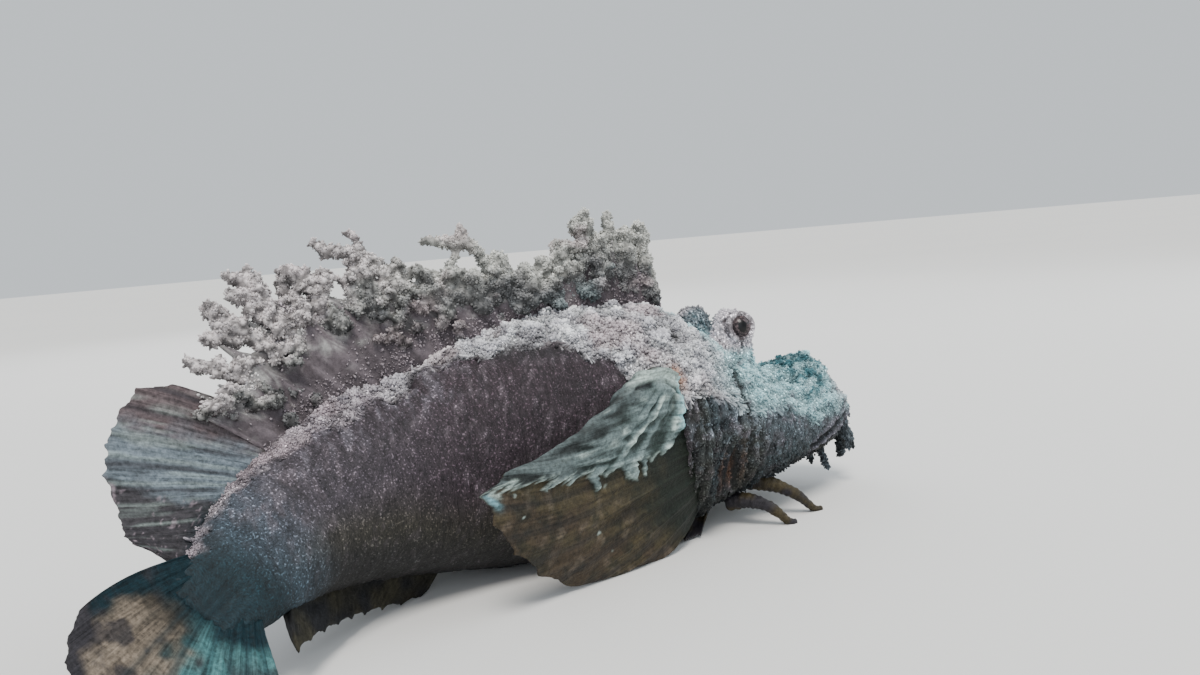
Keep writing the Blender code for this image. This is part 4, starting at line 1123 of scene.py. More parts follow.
def wet_eye():
    """A fish's eye: clear wet surface over a dark upright pupil and a brown iris with pale flecks."""
    material, tree, shader = blank("Wet eye", 0.3, 0.25)
    shader.inputs["Coat Weight"].default_value = 0.1
    look = add(tree, "Attribute", {"attribute_name": "body_place"}).outputs["Vector"]
    here = add(tree, "TexCoord").outputs["Object"]
    # The pupil is 2.2 mm wide and 3.2 mm tall; the vector is across, up and ahead in the eye.
    wide = add(tree, "Mapping", Vector=look, Scale=(1 / 1.1, 1 / 1.6, 0.0)).outputs[0]
    far = add(tree, "VectorMath", {"operation": "LENGTH"}, _0=wide).outputs[1]
    fleck = add(tree, "TexNoise", Vector=here, Scale=1300.0, Detail=3.0, Roughness=0.7).outputs[0]
    iris = add(tree, "MapRange", Value=fleck, From_Min=0.45, From_Max=0.68).outputs[0]
    flesh = add(tree, "Mix", {"data_type": "RGBA"}, _0=iris, _6=rgba("#1f181b"),
                _7=rgba("#6b5c5e")).outputs[2]
    open_eye = add(tree, "MapRange", Value=far, From_Min=0.92, From_Max=1.08).outputs[0]
    colour = add(tree, "Mix", {"data_type": "RGBA"}, _0=open_eye, _6=rgba("#08090b"), _7=flesh).outputs[2]
    tree.links.new(colour, shader.inputs["Base Color"])
    return material


def studio_floor():
    """Matt painted board, plain and pale."""
    material, tree, shader = blank("Pale studio board", 0.9, 0.2)
    here = add(tree, "TexCoord").outputs["Object"]
    cloud = add(tree, "TexNoise", Vector=here, Scale=3.0, Detail=2.0).outputs[0]
    colour = add(tree, "Mix", {"data_type": "RGBA"}, _0=cloud, _6=rgba("#dcdcdb"),
                 _7=rgba("#e2e1df")).outputs[2]
    tree.links.new(colour, shader.inputs["Base Color"])
    return material


def material_once(build):
    """A material that several pieces share, built the first time it is asked for."""
    name = "shared " + build.__name__
    ready = bpy.data.materials.get(name)
    if ready is None:
        ready = build()
        ready.name = name
    return ready


def olive_membrane():
    """Thin olive skin of the breast and belly fins."""
    return fin_membrane("Olive membrane", 0.5)


def grey_membrane():
    """Thin grey skin of the back, tail and anal fins."""
    return fin_membrane("Grey membrane", 0.6)


# Sizes and colours on the panel

class DevilfishSizes(bpy.types.PropertyGroup):
    crust_piece: bpy.props.IntProperty(name="Fingers a piece", default=9600, min=100, max=9900,
                                       description="Fingers of crust in each full piece of coat")


SIZES = {
    "skin_cell": ("Skin cell", "Grid on which the skin is fused", 0.00063, 0.0003),
    "growth_cell": ("Growth cell", "Grid on which the growth is fused", 0.0005, 0.0003),
    "tuft_length": ("Crust length", "Usual length of a finger of crust", 0.00052, 0.0002),
    "tuft_radius": ("Crust radius", "Usual radius of a finger of crust", 0.00027, 0.0001),
}
for key, (label, words, usual, least) in SIZES.items():
    DevilfishSizes.__annotations__[key] = bpy.props.FloatProperty(
        name=label, description=words, default=usual, min=least, unit="LENGTH")


class DevilfishColours(bpy.types.PropertyGroup):
    pass


COLOURS = {
    "slate": ("Slate", "Bare skin of the flank", "#2e252b"),
    "blue_grey": ("Blue grey", "Flank towards the tail", "#39353b"),
    "olive": ("Olive", "Lower flank", "#2f2d24"),
    # Deep is also painted shade in the cheek's groove, the hollow behind the mouth, the mouth's slit, the
    # silt's slit and just under the crust's edge.
    "deep": ("Deep", "Belly and gaps", "#191a1d"),
    "teal": ("Teal", "Root of the tail fin", "#0c2229"),
    "stem_blue": ("Stem blue", "Tail stem", "#3d4b56"),
    "cheek": ("Cheek", "Bare skin of the head", "#2c383c"),
    "rust": ("Rust", "Hollow behind the mouth", "#5a3a24"),
    "orange": ("Orange", "Small sponge behind the cheek", "#a8652f"),
    "lip": ("Lip", "Lips", "#5f5c66"),
    "dust": ("Dust", "Thin silt over bare skin", "#6c6269"),
    "crust": ("Crust", "Crust of the back", "#c9c8ce"),
    "crust_light": ("Light crust", "Palest crust", "#f4f5f8"),
    "crust_rose": ("Rose crust", "Pinkish crust", "#cbb8bb"),
    "crust_teal": ("Teal crust", "Crust of the head", "#a9dbe2"),
    "crust_dark": ("Dark crust", "Gaps in the crust", "#68646d"),
    "crust_rear": ("Rear crust", "Crust towards the tail", "#a2929b"),
    "crest": ("Crest", "Growth of the crest", "#9b9a98"),
    "crest_light": ("Light crest", "Tips of the growth", "#cdcdc7"),
    # Dark crest is painted shade low down and deep in the crest's growth.
    "crest_dark": ("Dark crest", "Membrane and gaps of the crest", "#626367"),
    "crest_tip": ("Crest tips", "Rearmost tips of the growth", "#d2c8ca"),
    "membrane": ("Membrane", "Bare membrane of the crest", "#595256"),
    "turret": ("Turret", "Skin round the eyes", "#dad4db"),
    "speckle": ("Speckle", "Dark specks round the eyes", "#2f2529"),
    "mottle": ("Mottle", "Dark spots on the snout", "#1f626d"),
    "fin_green": ("Fin green", "Silted upper part of the breast fins", "#677676"),
    # Dark silt is painted shade in the hollows and the crease of that silt.
    "silt_dark": ("Dark silt", "Hollows of that silt", "#25302d"),
    "fin_olive": ("Fin olive", "Lower part of the breast fins", "#3d3626"),
    # Fin shade is painted shade at the roots of the breast fins and under the silt's edge, and their dark
    # mottles too.
    "fin_shade": ("Fin shade", "Root of the breast fins", "#0b1612"),
    "fin_brown": ("Fin brown", "Rear of the breast fins, lower soft fin", "#3a3126"),
    "fin_grey": ("Fin grey", "Soft fins", "#54494b"),
    "fin_teal": ("Fin teal", "Middle of the soft fins", "#616b73"),
    "fin_lobe": ("Fin lobe", "Lower lobe of the soft back fin", "#302a2c"),
    "fin_dark": ("Fin dark", "Dark lines of the soft fins", "#2b292d"),
    "fin_tan": ("Fin tan", "Pale band of the tail fin", "#837668"),
    "tail_teal": ("Tail teal", "Lower part of the tail fin", "#466f71"),
    # Fin edge is also a painted highlight along the silt's top edge.
    "fin_edge": ("Fin edge", "Pale folds of the breast fins", "#b9cbc4"),
    "window": ("Window", "Clear cell near the tip of the breast fins", "#86b9c6"),
}
for key, (label, words, code) in COLOURS.items():
    DevilfishColours.__annotations__[key] = bpy.props.FloatVectorProperty(
        name=label, description=words, subtype="COLOR", size=3, min=0, max=1, default=rgba(code)[:3])


# One operator for each piece or group of like pieces

class DEVILFISH_OT_skin(bpy.types.Operator):
    """Builds the one skin of head, jaw, trunk and tail stem"""
    bl_idname = "devilfish.skin"
    bl_label = "Skin"

    def execute(self, context):
        points, faces = wrapped(flesh_parts(), size("skin_cell"))
        relief, local = skin_relief(points)
        points = clear_of_eyes(points + normals(points, faces) * relief[:, None])
        points[:, 2] = np.maximum(points[:, 2], FLOOR)
        mesh = bpy.data.meshes.new("skin")
        fill(mesh, points, faces)
        colour, share = markings(points)
        # Painted shade and light: the colour is darkened in the skin's low places (its grooves, hollows,
        # pits and mouth line) and brightened on its knobs.
        mark(mesh, colour * (0.4 + 0.8 * ease(local, -0.9, 0.6))[:, None], place_of(points))
        keep(mesh, "crust_share", share)
        keep(mesh, "local_height", local)
        show("skin", mesh, silted_skin(),
             ("head", "jaw", "trunk_front", "trunk_rear", "tail_stem"))
        return {"FINISHED"}


class DEVILFISH_OT_eyes(bpy.types.Operator):
    """Builds the two eyeballs"""
    bl_idname = "devilfish.eyes"
    bl_label = "Eyes"

    def execute(self, context):
        material = wet_eye()
        for word, sign in (("left", 1), ("right", -1)):
            centre, (across, rise, gaze) = eye_centre(sign), eye_axes(sign)
            turn = np.linspace(0.03, math.pi - 0.03, 40)
            bulge = 1 + 0.06 * spot(turn, 0.5)
            spoke = np.arange(64) / 64 * 2 * math.pi
            ahead = EYE_RADIUS * np.cos(turn) * bulge
            wide = EYE_RADIUS * np.sin(turn) * bulge
            x, y = wide[:, None] * np.cos(spoke), wide[:, None] * np.sin(spoke)
            rings = (centre + ahead[:, None, None] * gaze + x[..., None] * across + y[..., None] * rise)
            points, faces = closed_tube(rings)
            mesh = bpy.data.meshes.new("eye_" + word + "_ball")
            fill(mesh, points, outward(points, faces))
            apart = points - centre
            look = xyz(apart @ across, apart @ rise, apart @ gaze)
            mark(mesh, np.zeros_like(points), look)
            show("eye_" + word + "_ball", mesh, material, ("eye_" + word,))
        return {"FINISHED"}


def fin_piece(name, built, colour, material, replaced):
    """A fin from a fan, with its colour and its ray places."""
    points, faces, ray, reach, side = built
    mesh = bpy.data.meshes.new(name)
    points[:, 2] = np.maximum(points[:, 2], FLOOR)
    fill(mesh, points, faces)
    mark(mesh, colour, xyz(ray, reach, side))
    return show(name, mesh, material, replaced)


def crest_knobs(ray, share, middle):
    """Height of the knobs on each face of the spiny fin, more towards its margin."""
    lumps = [0.3 * knobs(middle, 2.2, seed) + 0.2 * rough(middle, 2.0, 2, seed) for seed in (81, 82)]
    return [np.maximum(0, lump) * (0.3 + share) for lump in lumps]


def crest_height(s, height):
    """How high up the spiny fin a point lies: 0 at its root and about 1 at the spines' tips."""
    return (height - along(BACK, s)) / (along(SPINE_RISE, s) + 1)


class DEVILFISH_OT_back_fin(bpy.types.Operator):
    """Builds the spiny fin of the back and the branched growth on it"""
    bl_idname = "devilfish.back_fin"
    bl_label = "Spiny back fin"

    def execute(self, context):
        self.membrane()
        self.growth()
        return {"FINISHED"}

    def membrane(self):
        """The fin under the growth: a ray at each spine, a little shorter, with deep notches between."""
        roots, tips = back_rays(np.concatenate([SPINE_PLACES, [156.5, 160]]), SPINE_SWEEP, SPINE_RISE)
        tips = roots + (tips - roots) * np.array([0.93, 1, 0.97])
        built = fan(roots, tips, 0 * roots, per=8, rows=40, notch=0.74, fray=0.05, thickness=(2.6, 1.2),
                    ridge=0.6, billow=1.0, seed=21, on_floor=False, coat=crest_knobs)
        points, _, ray, reach, side = built
        s, _, height = uncarry(points)
        pale = rough(points, 2.6, 3, 84)
        line = rough(xyz(ray * 3, reach * 1.5, side), 1.0, 3, 83)
        colour = layered(tone("membrane"), ("crest", 0.8 * ease(reach + 0.4 * pale, 0.5, 1.2)))
        colour = colour * (0.75 + 0.6 * ease(line, -0.7, 0.7))[:, None]
        weed = oval(s, height, (115, 73.5), (4.5, 1.6))
        colour = layered(colour, ("olive", 0.6 * weed))
        fin_piece("spiny_back_fin", built, colour, material_once(algal_crust),
                  ("dorsal_fin_front", "dorsal_fin_spiny"))

    def growth(self):
        """Branches and buds fused to one lumpy mesh, with painted shade in its pits, on its undersides and
        low down, and pale on its upper tips.
        """
        points, faces = wrapped(crest_parts(), size("growth_cell"))
        lump = knobs(points, 1.7, 86)
        out = 0.4 * lump - 0.15 + 0.18 * rough(points, 0.9, 2, 87)
        points = points + normals(points, faces) * out[:, None]
        # Painted light from above: faces that look up are paler and faces that look down darker.
        painted_top_light = ease(normals(points, faces)[:, 2], -0.5, 0.7)
        mesh = bpy.data.meshes.new("crest_growth")
        fill(mesh, points, faces)
        s, _, height = uncarry(points)
        high = ease(crest_height(s, height) + 0.3 * noise(points, 4.0, 88), 0.35, 1.0)
        pale = layered(tone("crest"), ("crest_light", high))
        # Painted shade in part: the dark crest colour low down gives way to the pale one towards the tips.
        colour = layered(
            blend(tone("crest_dark"), pale, 0.35 + 0.65 * high),
            ("crust_rose", 0.5 * ease(noise(points, 6.0, 89), 0.1, 0.6)),
            ("crest_tip", 0.75 * ease(high, 0.5, 0.95) * ease(s, 118, 136)),
            ("crust_teal", 0.15 * ease(noise(points, 9.0, 90), 0.2, 0.8) * ease(110 - s, 0, 20)))
        # Painted shade in the pits between the knobs, and more of it low on the rear growth.
        rear = ease(s, 114, 128)
        shade = (0.5 - 0.2 * rear + (0.6 + 0.2 * rear) * ease(lump, 0.05, 0.6)) * (0.55 + 0.5 * painted_top_light)
        shade = shade * (1 - 0.2 * rear * (1 - high))
        mark(mesh, colour * shade[:, None], place_of(points))
        keep(mesh, "local_height", lump * 1.5 - 0.6)
        show("crest_growth", mesh, material_once(algal_crust))


class DEVILFISH_OT_rear_fins(bpy.types.Operator):
    """Builds the soft fin of the back, the tail fin and the anal fin"""
    bl_idname = "devilfish.rear_fins"
    bl_label = "Soft fins"

    def execute(self, context):
        grey = material_once(grey_membrane)
        self.soft_back_fin(grey)
        self.tail_fin(grey)
        self.anal_fin(grey)
        return {"FINISHED"}

    def soft_back_fin(self, grey):
        """Ten rays that lean back more and more: mauve above, then blue-grey, with a dark lower lobe."""
        place, tip_place, tip_height = np.array(SOFT_RAYS).T
        roots = xyz(place, 0, along(BACK, place) - SINK)
        tips = xyz(tip_place, 0, tip_height)
        bow = xyz(0, 0, 0 * place - 0.8)
        built = fan(roots, tips, bow, per=13, rows=60, notch=0.982, fray=0.016, seed=22, on_floor=False)
        points, _, ray, reach, side = built
        streak = rough(xyz(ray * 4, reach * 2.5, side), 1.0, 2, 91)
        blot = rough(points, 4.0, 3, 94)
        low = ease(ray + 0.4 * blot + 1.4 * reach, 5.2, 6.2)
        scar = ease(rough(xyz(ray * 2.6, reach * 24, side), 1.0, 2, 108), 0.7, 0.9)
        colour = layered(
            tone("fin_grey"),
            ("fin_teal", ease(ray + 0.5 * blot, 1.6, 3.0)),
            ("fin_lobe", 0.9 * low),
            ("fin_dark", 0.75 * spot((ray % 1 - 0.62) / 0.14, 1) * ease(reach, 0.05, 0.3)),
            ("fin_edge", 0.25 * spot((ray % 1 - 0.3) / 0.1, 1) * ease(streak, -0.2, 0.5)),
            ("fin_dark", 0.4 * ease(streak + 0.3 * blot, 0.15, 0.7)),
            ("fin_edge", 0.14 * ease(-streak, 0.3, 0.8) * ease(6.5 - ray, 0, 1.5)),
            ("crust_rear", 0.35 * scar * low),
            ("teal", 0.7 * ease(0.4 - reach, 0, 0.3) * ease(ray, 5, 6.5)))
        fin_piece("soft_back_fin", built, colour, grey, ("dorsal_fin_soft",))

    def tail_fin(self, grey):
        """Blue-green round its root and below, with a band of tan patches and a dark margin."""
        u = np.linspace(0, 1, CAUDAL_RAYS)
        place = STANDARD_LENGTH - TAIL_SINK
        high, low = along(BACK, place) - 0.8, along(BELLY, place) + 0.8
        roots = xyz(place, 0, high + (low - high) * u)
        tips = xyz(along(CAUDAL_TIP_PLACE, u), 0, along(CAUDAL_TIP_HEIGHT, u))
        bow = xyz(0, 2.0 * np.sin(math.pi * u), 1.5 * (1 - 2 * u))
        built = fan(roots, tips, bow, per=16, rows=70, notch=0.98, fray=0.016, seed=23,
                    thickness=(3.4, 0.35))
        points, _, ray, reach, _ = built
        blot = rough(points, 6.0, 3, 92)
        patch = ease(rough(points, 3.4, 3, 109), -0.45, 0.35)
        middle = ease(ray + 0.4 * blot, 0.9, 1.8) * ease(5.0 - ray + blot, 0, 1.6)
        tan = ease(reach + 0.12 * blot, 0.36, 0.52) * middle
        colour = layered(
            tone("teal"),
            ("tail_teal", 0.95 * ease(reach + 0.06 * blot, 0.17, 0.32) * ease(ray, 3.5, 5.5)),
            ("fin_brown", 0.7 * middle * ease(reach + 0.1 * blot, 0.24, 0.4)),
            ("fin_tan", tan * (0.55 + 0.45 * patch)),
            ("fin_tan", 0.7 * ease(reach + 0.1 * blot, 0.5, 0.7) * ease(ray, 4, 6) * patch),
            ("fin_dark", ease(reach + 0.1 * blot, 0.8, 0.92)),
            ("fin_dark", 0.8 * ease(rough(points, 4.5, 3, 104), 0.1, 0.6) * ease(reach, 0.2, 0.4)),
            ("teal", 0.6 * spot((ray % 1 - 0.5) / 0.16, 1) * ease(ray, 2, 4)))
        fin_piece("tail_fin", built, colour, grey, ("caudal_fin",))

    def anal_fin(self, grey):
        """A low dark fin under the rear body, deeper towards the tail."""
        s = ANAL_PLACES
        roots = xyz(s, 0, along(BELLY, s) + SINK)
        deep = ANAL_DEPTH * np.linspace(0.7, 1, len(s))
        tips = xyz(s + ANAL_SWEEP, 0, along(BELLY, s) - deep)
        built = fan(roots, tips, 0 * roots, per=10, rows=30, notch=0.9, fray=0.03, seed=24)
        colour = layered(tone("deep"), ("olive", ease(noise(built[0], 4, 93), -0.5, 0.5)))
        fin_piece("anal_fin_skin", built, colour, grey, ("anal_fin",))


def silt_inside(ray, reach):
    """How many rays a point lies inside the silt on a breast fin, whose wavy edge has slanting fingers."""
    line = np.interp(reach, *np.array(SILT_EDGE).T)
    slant = reach - 0.022 * (ray - line)
    wave = xyz(slant, 0, 0)
    finger = ease(noise(wave, 0.024, 96), 0.05, 0.6) * ease(reach, 0.1, 0.18) * ease(0.62 - reach, 0, 0.1)
    return line + 0.3 * noise(wave, 0.05, 95) + 0.15 * noise(wave, 0.011, 100) + 0.85 * finger - ray


def silt_folds(ray, reach):
    """Folds of the silt sheet, from -1 to 1: long ripples that run with the rays and slant across them."""
    lie = xyz(ray * 2.4 + reach * 3, reach * 3.0, 0)
    fine = xyz(ray * 5.5 + reach * 7, reach * 7, 0)
    hang = xyz((reach - 0.035 * ray) * 28, ray * 0.7, 0)
    front = ease(reach, 0.08, 0.15) * ease(0.55 - reach, 0, 0.15) * ease(ray, 0.8, 1.6)
    fold = 0.6 * noise(lie, 1.0, 101) + 0.65 * noise(fine, 1.0, 102)
    return fold * (1 - 0.6 * front) + 0.8 * front * noise(hang, 1.0, 110)


def front_strip(ray, reach):
    """The pale fold of skin that hangs down the front of the fin."""
    return spot((reach - 0.075 + 0.012 * np.sin(2.4 * ray)) / 0.03, 1) * ease(3.4 - ray, 0, 0.5)


def front_crease(ray, reach):
    """The crease behind that fold, darkened with painted shade."""
    return spot((reach - 0.15 - 0.01 * ray) / 0.03, 1) * ease(ray, 0.6, 1.2) * ease(3.8 - ray, 0, 0.6)


def silt_coat(ray, share, middle):
    """Height of the silt on the outer face of a breast fin: a crumpled sheet with a rolled rim on top."""
    inside = silt_inside(ray, share)
    crumple = 0.55 + 0.85 * silt_folds(ray, share) + 0.15 * rough(middle, 1.6, 2, 97)
    sheet = ease(inside, -0.05, 0.12) * crumple
    rim = 1.1 * spot(ray / 0.35, 1) * ease(share, 0.08, 0.2) * ease(0.85 - share, 0, 0.2)
    slit = 0.8 * spot((ray - 0.75) / 0.22, 1) * ease(share, 0.5, 0.56) * ease(0.78 - share, 0, 0.06)
    lift = sheet + 0.35 * spot(inside - 0.1, 0.14) + rim - slit
    lift = lift + 1.0 * front_strip(ray, share) - 0.7 * front_crease(ray, share)
    return np.maximum(lift * ease(share, 0.03, 0.1), -0.3), 0 * share


def bare_breast(points, ray, reach, inside):
    """The smooth lower part of a breast fin: olive-brown with tan flecks, with dark green painted shade
    towards its root and under the silt's edge.
    """
    blot = rough(points, 5.0, 3, 98)
    return layered(
        tone("fin_olive"),
        ("fin_brown", ease(0.6 * blot + reach - 0.5, 0.0, 0.5)),
        ("fin_shade", 0.5 * ease(rough(points, 3.2, 3, 105), 0.1, 0.8)),
        ("fin_tan", 0.22 * ease(rough(points, 2.6, 3, 106), 0.2, 0.8) * ease(reach, 0.3, 0.6)),
        # Painted shade towards the root, where the fin meets the body.
        ("fin_shade", 0.9 * ease(0.52 - reach + 0.03 * (ray - 5) + 0.08 * blot, 0, 0.34)),
        ("deep", 0.5 * spot(ray % 1 - 0.5, 0.16) * ease(reach, 0.3, 0.6)),
        # Painted shade just under the edge of the silt.
        ("fin_shade", 0.75 * ease(inside + 0.6, 0, 0.6) * ease(0.68 - reach, 0, 0.2)),
        ("fin_edge", 0.6 * ease(knobs(points, 4.6, 107), 0.86, 0.93) * ease(reach, 0.4, 0.6)))


def breast_silt(points, ray, reach):
    """The silt over the outer top of a breast fin: pale green on its folds, with painted shade in its
    hollows, crease and slit, and a painted highlight along its top edge.
    """
    blot = rough(points, 5.0, 3, 98)
    fold = silt_folds(ray, reach)
    slit = spot((ray - 0.75) / 0.2, 1) * ease(reach, 0.5, 0.55) * ease(0.78 - reach, 0, 0.05)
    return layered(
        tone("silt_dark"),
        # The colour follows the folds: painted shade in their hollows, paler on their crests.
        ("fin_green", ease(fold + 0.3 * blot, -0.45, 0.2)),
        ("fin_edge", 0.75 * ease(fold + 0.4 * rough(points, 2.4, 2, 103), 0.35, 0.9)),
        ("fin_dark", 0.5 * ease(reach + 0.1 * blot, 0.45, 0.8)),
        # Painted shade in the crease behind the front fold.
        ("silt_dark", 0.8 * front_crease(ray, reach)),
        # Painted highlight along the top edge of the silt.
        ("fin_edge", 0.9 * spot((ray - 0.3) / 0.32, 1) * ease(0.9 - reach, 0, 0.2)),
        ("crust_teal", 0.8 * front_strip(ray, reach)),
        # Painted shade in the slit.
        ("deep", 0.9 * slit))


def breast_colour(points, ray, reach, side):
    """Colour of a breast fin: silt over the outer top, bare below, with one clear cell near the tip."""
    inside = silt_inside(ray, reach)
    outer = side > 0
    silted = ease(inside, -0.05, 0.08) * outer
    colour = blend(bare_breast(points, ray, reach, inside), breast_silt(points, ray, reach), silted)
    cell = spot(np.hypot((ray - 3.75) / 0.32, (reach - 0.93) / 0.028) - 1, 0.3)
    return layered(
        colour,
        ("fin_edge", 0.4 * spot(inside - 0.08, 0.09) * outer * ease(reach, 0.1, 0.25)),
        ("window", 0.8 * oval(ray, reach, (4.2, 0.965), (0.25, 0.02))),
        ("fin_edge", 0.6 * cell),
        ("cheek", ease(0.045 - reach + 0.01 * rough(points, 5.0, 3, 98), 0, 0.02)))


def paired_roots(root, rays, sign):
    """Shares along the root line of a paired fin, and the rays' roots there, sunk into the body."""
    front_place, front_height, rear_place, rear_height = root
    u = np.linspace(0, 1, rays)
    s = front_place + (rear_place - front_place) * u
    height = front_height + (rear_height - front_height) * u
    return u, xyz(s, sign * (side_at(s, height) - SINK), height)


class DEVILFISH_OT_breast_fins(bpy.types.Operator):
    """Builds the breast fins, the belly fins and the free rays on which the fish walks"""
    bl_idname = "devilfish.breast_fins"
    bl_label = "Breast and belly fins"

    def execute(self, context):
        olive = material_once(olive_membrane)
        for word, sign in (("left", 1), ("right", -1)):
            self.breast_fin(word, sign, olive)
            self.belly_fin(word, sign, olive)
            for number, joints in FREE_RAYS.items():
                self.free_ray(number, word, sign, joints, olive)
        return {"FINISHED"}

    def breast_fin(self, word, sign, olive):
        """The broad fin behind the cheek, bowed outwards, with its lower edge on the floor."""
        u, roots = paired_roots(PECTORAL_ROOT, PECTORAL_RAYS, sign)
        tips = xyz(along(PECTORAL_TIP_PLACE, u), sign * along(PECTORAL_TIP_SIDE, u),
                   along(PECTORAL_TIP_HEIGHT, u))
        bow = xyz(0, sign * 3.5, 2.5 * (1 - u) + 3.0 * np.exp(-6 * u))
        built = fan(roots, tips, bow, sign, per=14, rows=90, notch=0.975, fray=0.012, ridge=0.3, billow=0.8,
                    seed=25, coat=silt_coat)
        points, _, ray, reach, side = built
        colour = breast_colour(points, ray, reach, side)
        fin_piece("breast_fin_" + word, built, colour, olive, ("pectoral_fin_" + word,))

    def belly_fin(self, word, sign, olive):
        """The smaller fin below, spread flat on the floor."""
        u, roots = paired_roots(PELVIC_ROOT, PELVIC_RAYS, sign)
        tips = xyz(along(PELVIC_TIP_PLACE, u), sign * along(PELVIC_TIP_SIDE, u), FLOOR)
        built = fan(roots, tips, 0 * roots, sign, per=12, rows=36, fray=0.04, seed=26)
        colour = layered(tone("fin_olive"), ("fin_dark", ease(noise(built[0], 4, 99), -0.4, 0.6)))
        fin_piece("belly_fin_" + word, built, colour, olive, ("pelvic_fin_" + word,))

    def free_ray(self, number, word, sign, joints, olive):
        """A free ray: a tapered, faintly ringed finger on a curve through root, knee and tip."""
        root, knee, tip = (np.array([p[0], sign * p[1], p[2]], float) for p in joints)
        t = np.linspace(0, 1, 60)[:, None]
        path = root * (1 - t)**2 + 2 * knee * t * (1 - t) + tip * t**2
        lead = path[0] + (path[0] - path[8])
        path = np.concatenate([lead + (path[0] - lead) * np.linspace(0, 0.9, 5)[:, None], path])
        line = laid(carry(path[:, 0], path[:, 1], path[:, 2]))
        thick, thin = FREE_RAY_RADIUS
        radii = np.concatenate([np.full(5, thick), thick + (thin - thick) * t[:, 0]])
        radii = radii * (1 + 0.05 * np.sin(np.arange(len(radii)) * 1.3))
        points, faces = rope(line, radii, 20)
        faces = outward(points, faces)
        points = points + normals(points, faces) * (0.15 * rough(points, 1.6, 2, 70))[:, None]
        points[:, 2] = np.maximum(points[:, 2], FLOOR)
        mesh = bpy.data.meshes.new("walking_ray_" + number + "_" + word)
        fill(mesh, points, faces)
        colour = layered(tone("fin_olive"), ("fin_dark", ease(noise(points, 3, 71), -0.3, 0.4)))
        mark(mesh, colour, place_of(points))
        show(mesh.name, mesh, olive, ("free_ray_" + number + "_" + word,))


def grown(name, carrier, weight, count, scale, seed, slot, lean=(0.0, 0.0, 0.25), stretch=1.0, bright=1.0):
    """A coat of tufts on a carrier piece, drawn by a weight at its points, in the carrier's own colours.

    scale is their usual size as a part of the panel's, lean a direction that they tend to, stretch how much
    longer they are for their radius, and bright how much paler than the carrier.
    """
    mesh = bpy.data.objects[carrier].data
    points, faces = read(mesh)
    colour = np.empty(len(points) * 4, np.float32)
    mesh.attributes["markings"].data.foreach_get("color", colour)
    colour = colour.reshape(-1, 4)[:, :3]
    chance = np.random.default_rng(seed)
    at, facing, corners, shares = scattered(points, faces, weight + 1e-9, count, chance)
    big = np.minimum(chance.lognormal(0, 0.35, count), LARGEST_TUFT) * scale
    sway = np.array(lean) + chance.normal(0, 0.35, (count, 3))
    built = tufts(at, facing, size("tuft_length") * big * stretch, size("tuft_radius") * big, chance, sway)
    tint = np.einsum("nk,nkx->nx", shares, colour[corners]) * bright
    return coat(name, built, tint * chance.uniform(0.9, 1.15, (count, 1)), place_of(at), body_map(at),
                material_once(algal_crust), slot)


class DEVILFISH_OT_body_crust(bpy.types.Operator):
    """Grows the crust on head, back and flank as short fingers of silt and algae"""
    bl_idname = "devilfish.body_crust"
    bl_label = "Body crust"

    def execute(self, context):
        mesh = bpy.data.objects["skin"].data
        points, _ = read(mesh)
        s, _, height = uncarry(points)
        share, local = kept(mesh, "crust_share"), kept(mesh, "local_height")
        count = context.scene.devilfish_sizes.crust_piece
        mouth = ease(np.abs(height - mouth_height(s)), 1.2, 2.2) + ease(s, MOUTH_CORNER, MOUTH_CORNER + 2)
        nostril = ease(np.hypot(s - NOSTRIL[0], height - NOSTRIL[1]), 1.5, 2.4)
        lids = ease(eye_near(points), EYE_RADIUS + 0.6, EYE_RADIUS + 1.3)
        clear = lids * np.clip(mouth, 0, 1) * nostril
        thick = clear * share * (0.12 + ease(local, -0.6, 0.5))
        turret = ease(9.5 - eye_near(points), 0, 1.5) * ease(height, 44, 47)
        thick = np.where(turret > 0, 0.2 * clear, thick)
        rear = ease(s, 88, 92) * thick
        edge = ease(share, 0.05, 0.3) * ease(0.95 - share, 0, 0.3) * ease(s, 20, 60) * (turret == 0)
        edge = edge * (1 - 0.85 * ease(s, 135, 160))
        patchy = 0.1 + ease(noise(points, 7.0, 72), -0.2, 0.5)
        fall = ease(11 - along(CRUST_EDGE, s) + height, 0, 10) * ease(s, 108, 128)
        bare = (1 - share) * clear * (0.1 + ease(height, 12, 42)) * patchy
        bare = bare * ease(186 - s, 0, 12) * (1 + 3 * fall)
        cheek = (1 - share) * clear * ease(76 - s, 0, 6) * ease(height, 5, 14)
        cheek = cheek * (0.2 + ease(local, -0.5, 0.4))
        chin = ease(13 - s, 0, 5) * ease(19 - height, 0, 3) * (1 - share)
        crown = ease(s, 31, 34) * ease(62 - s, 0, 4) * thick
        nape = ease(s, 58, 62) * ease(92 - s, 0, 4) * thick
        grown("crust_snout", "skin", ease(34 - s, 0, 3) * thick, count, 0.6, 200, "head_skin")
        grown("crust_crown", "skin", crown, count, 0.78, 201, "head_skin")
        grown("crust_nape", "skin", nape, count, 1.0, 202, "body_skin")
        grown("crust_back", "skin", rear * ease(158 - s, 0, 20), count * 2 // 3, 0.95, 203, "body_skin")
        grown("crust_stem", "skin", rear * ease(s, 138, 158), count // 3, 0.58, 208, "body_skin")
        grown("crust_hanging", "skin", edge * clear, count // 4, 0.8, 204, "body_skin", (0, 0, -1.3),
              2.6, 1.4)
        grown("silt_specks", "skin", bare, count // 3, 0.36, 205, "body_skin", (0, 0, 0), 0.5, 1.5)
        grown("crust_cheek", "skin", cheek, count // 2, 0.62, 207, "head_skin", (0, 0, -0.7), 1.3, 1.25)
        grown("chin_fringe", "skin", chin, count // 12, 0.9, 206, "head_skin", (0, 0, -0.8), 1.0, 1.6)
        return {"FINISHED"}


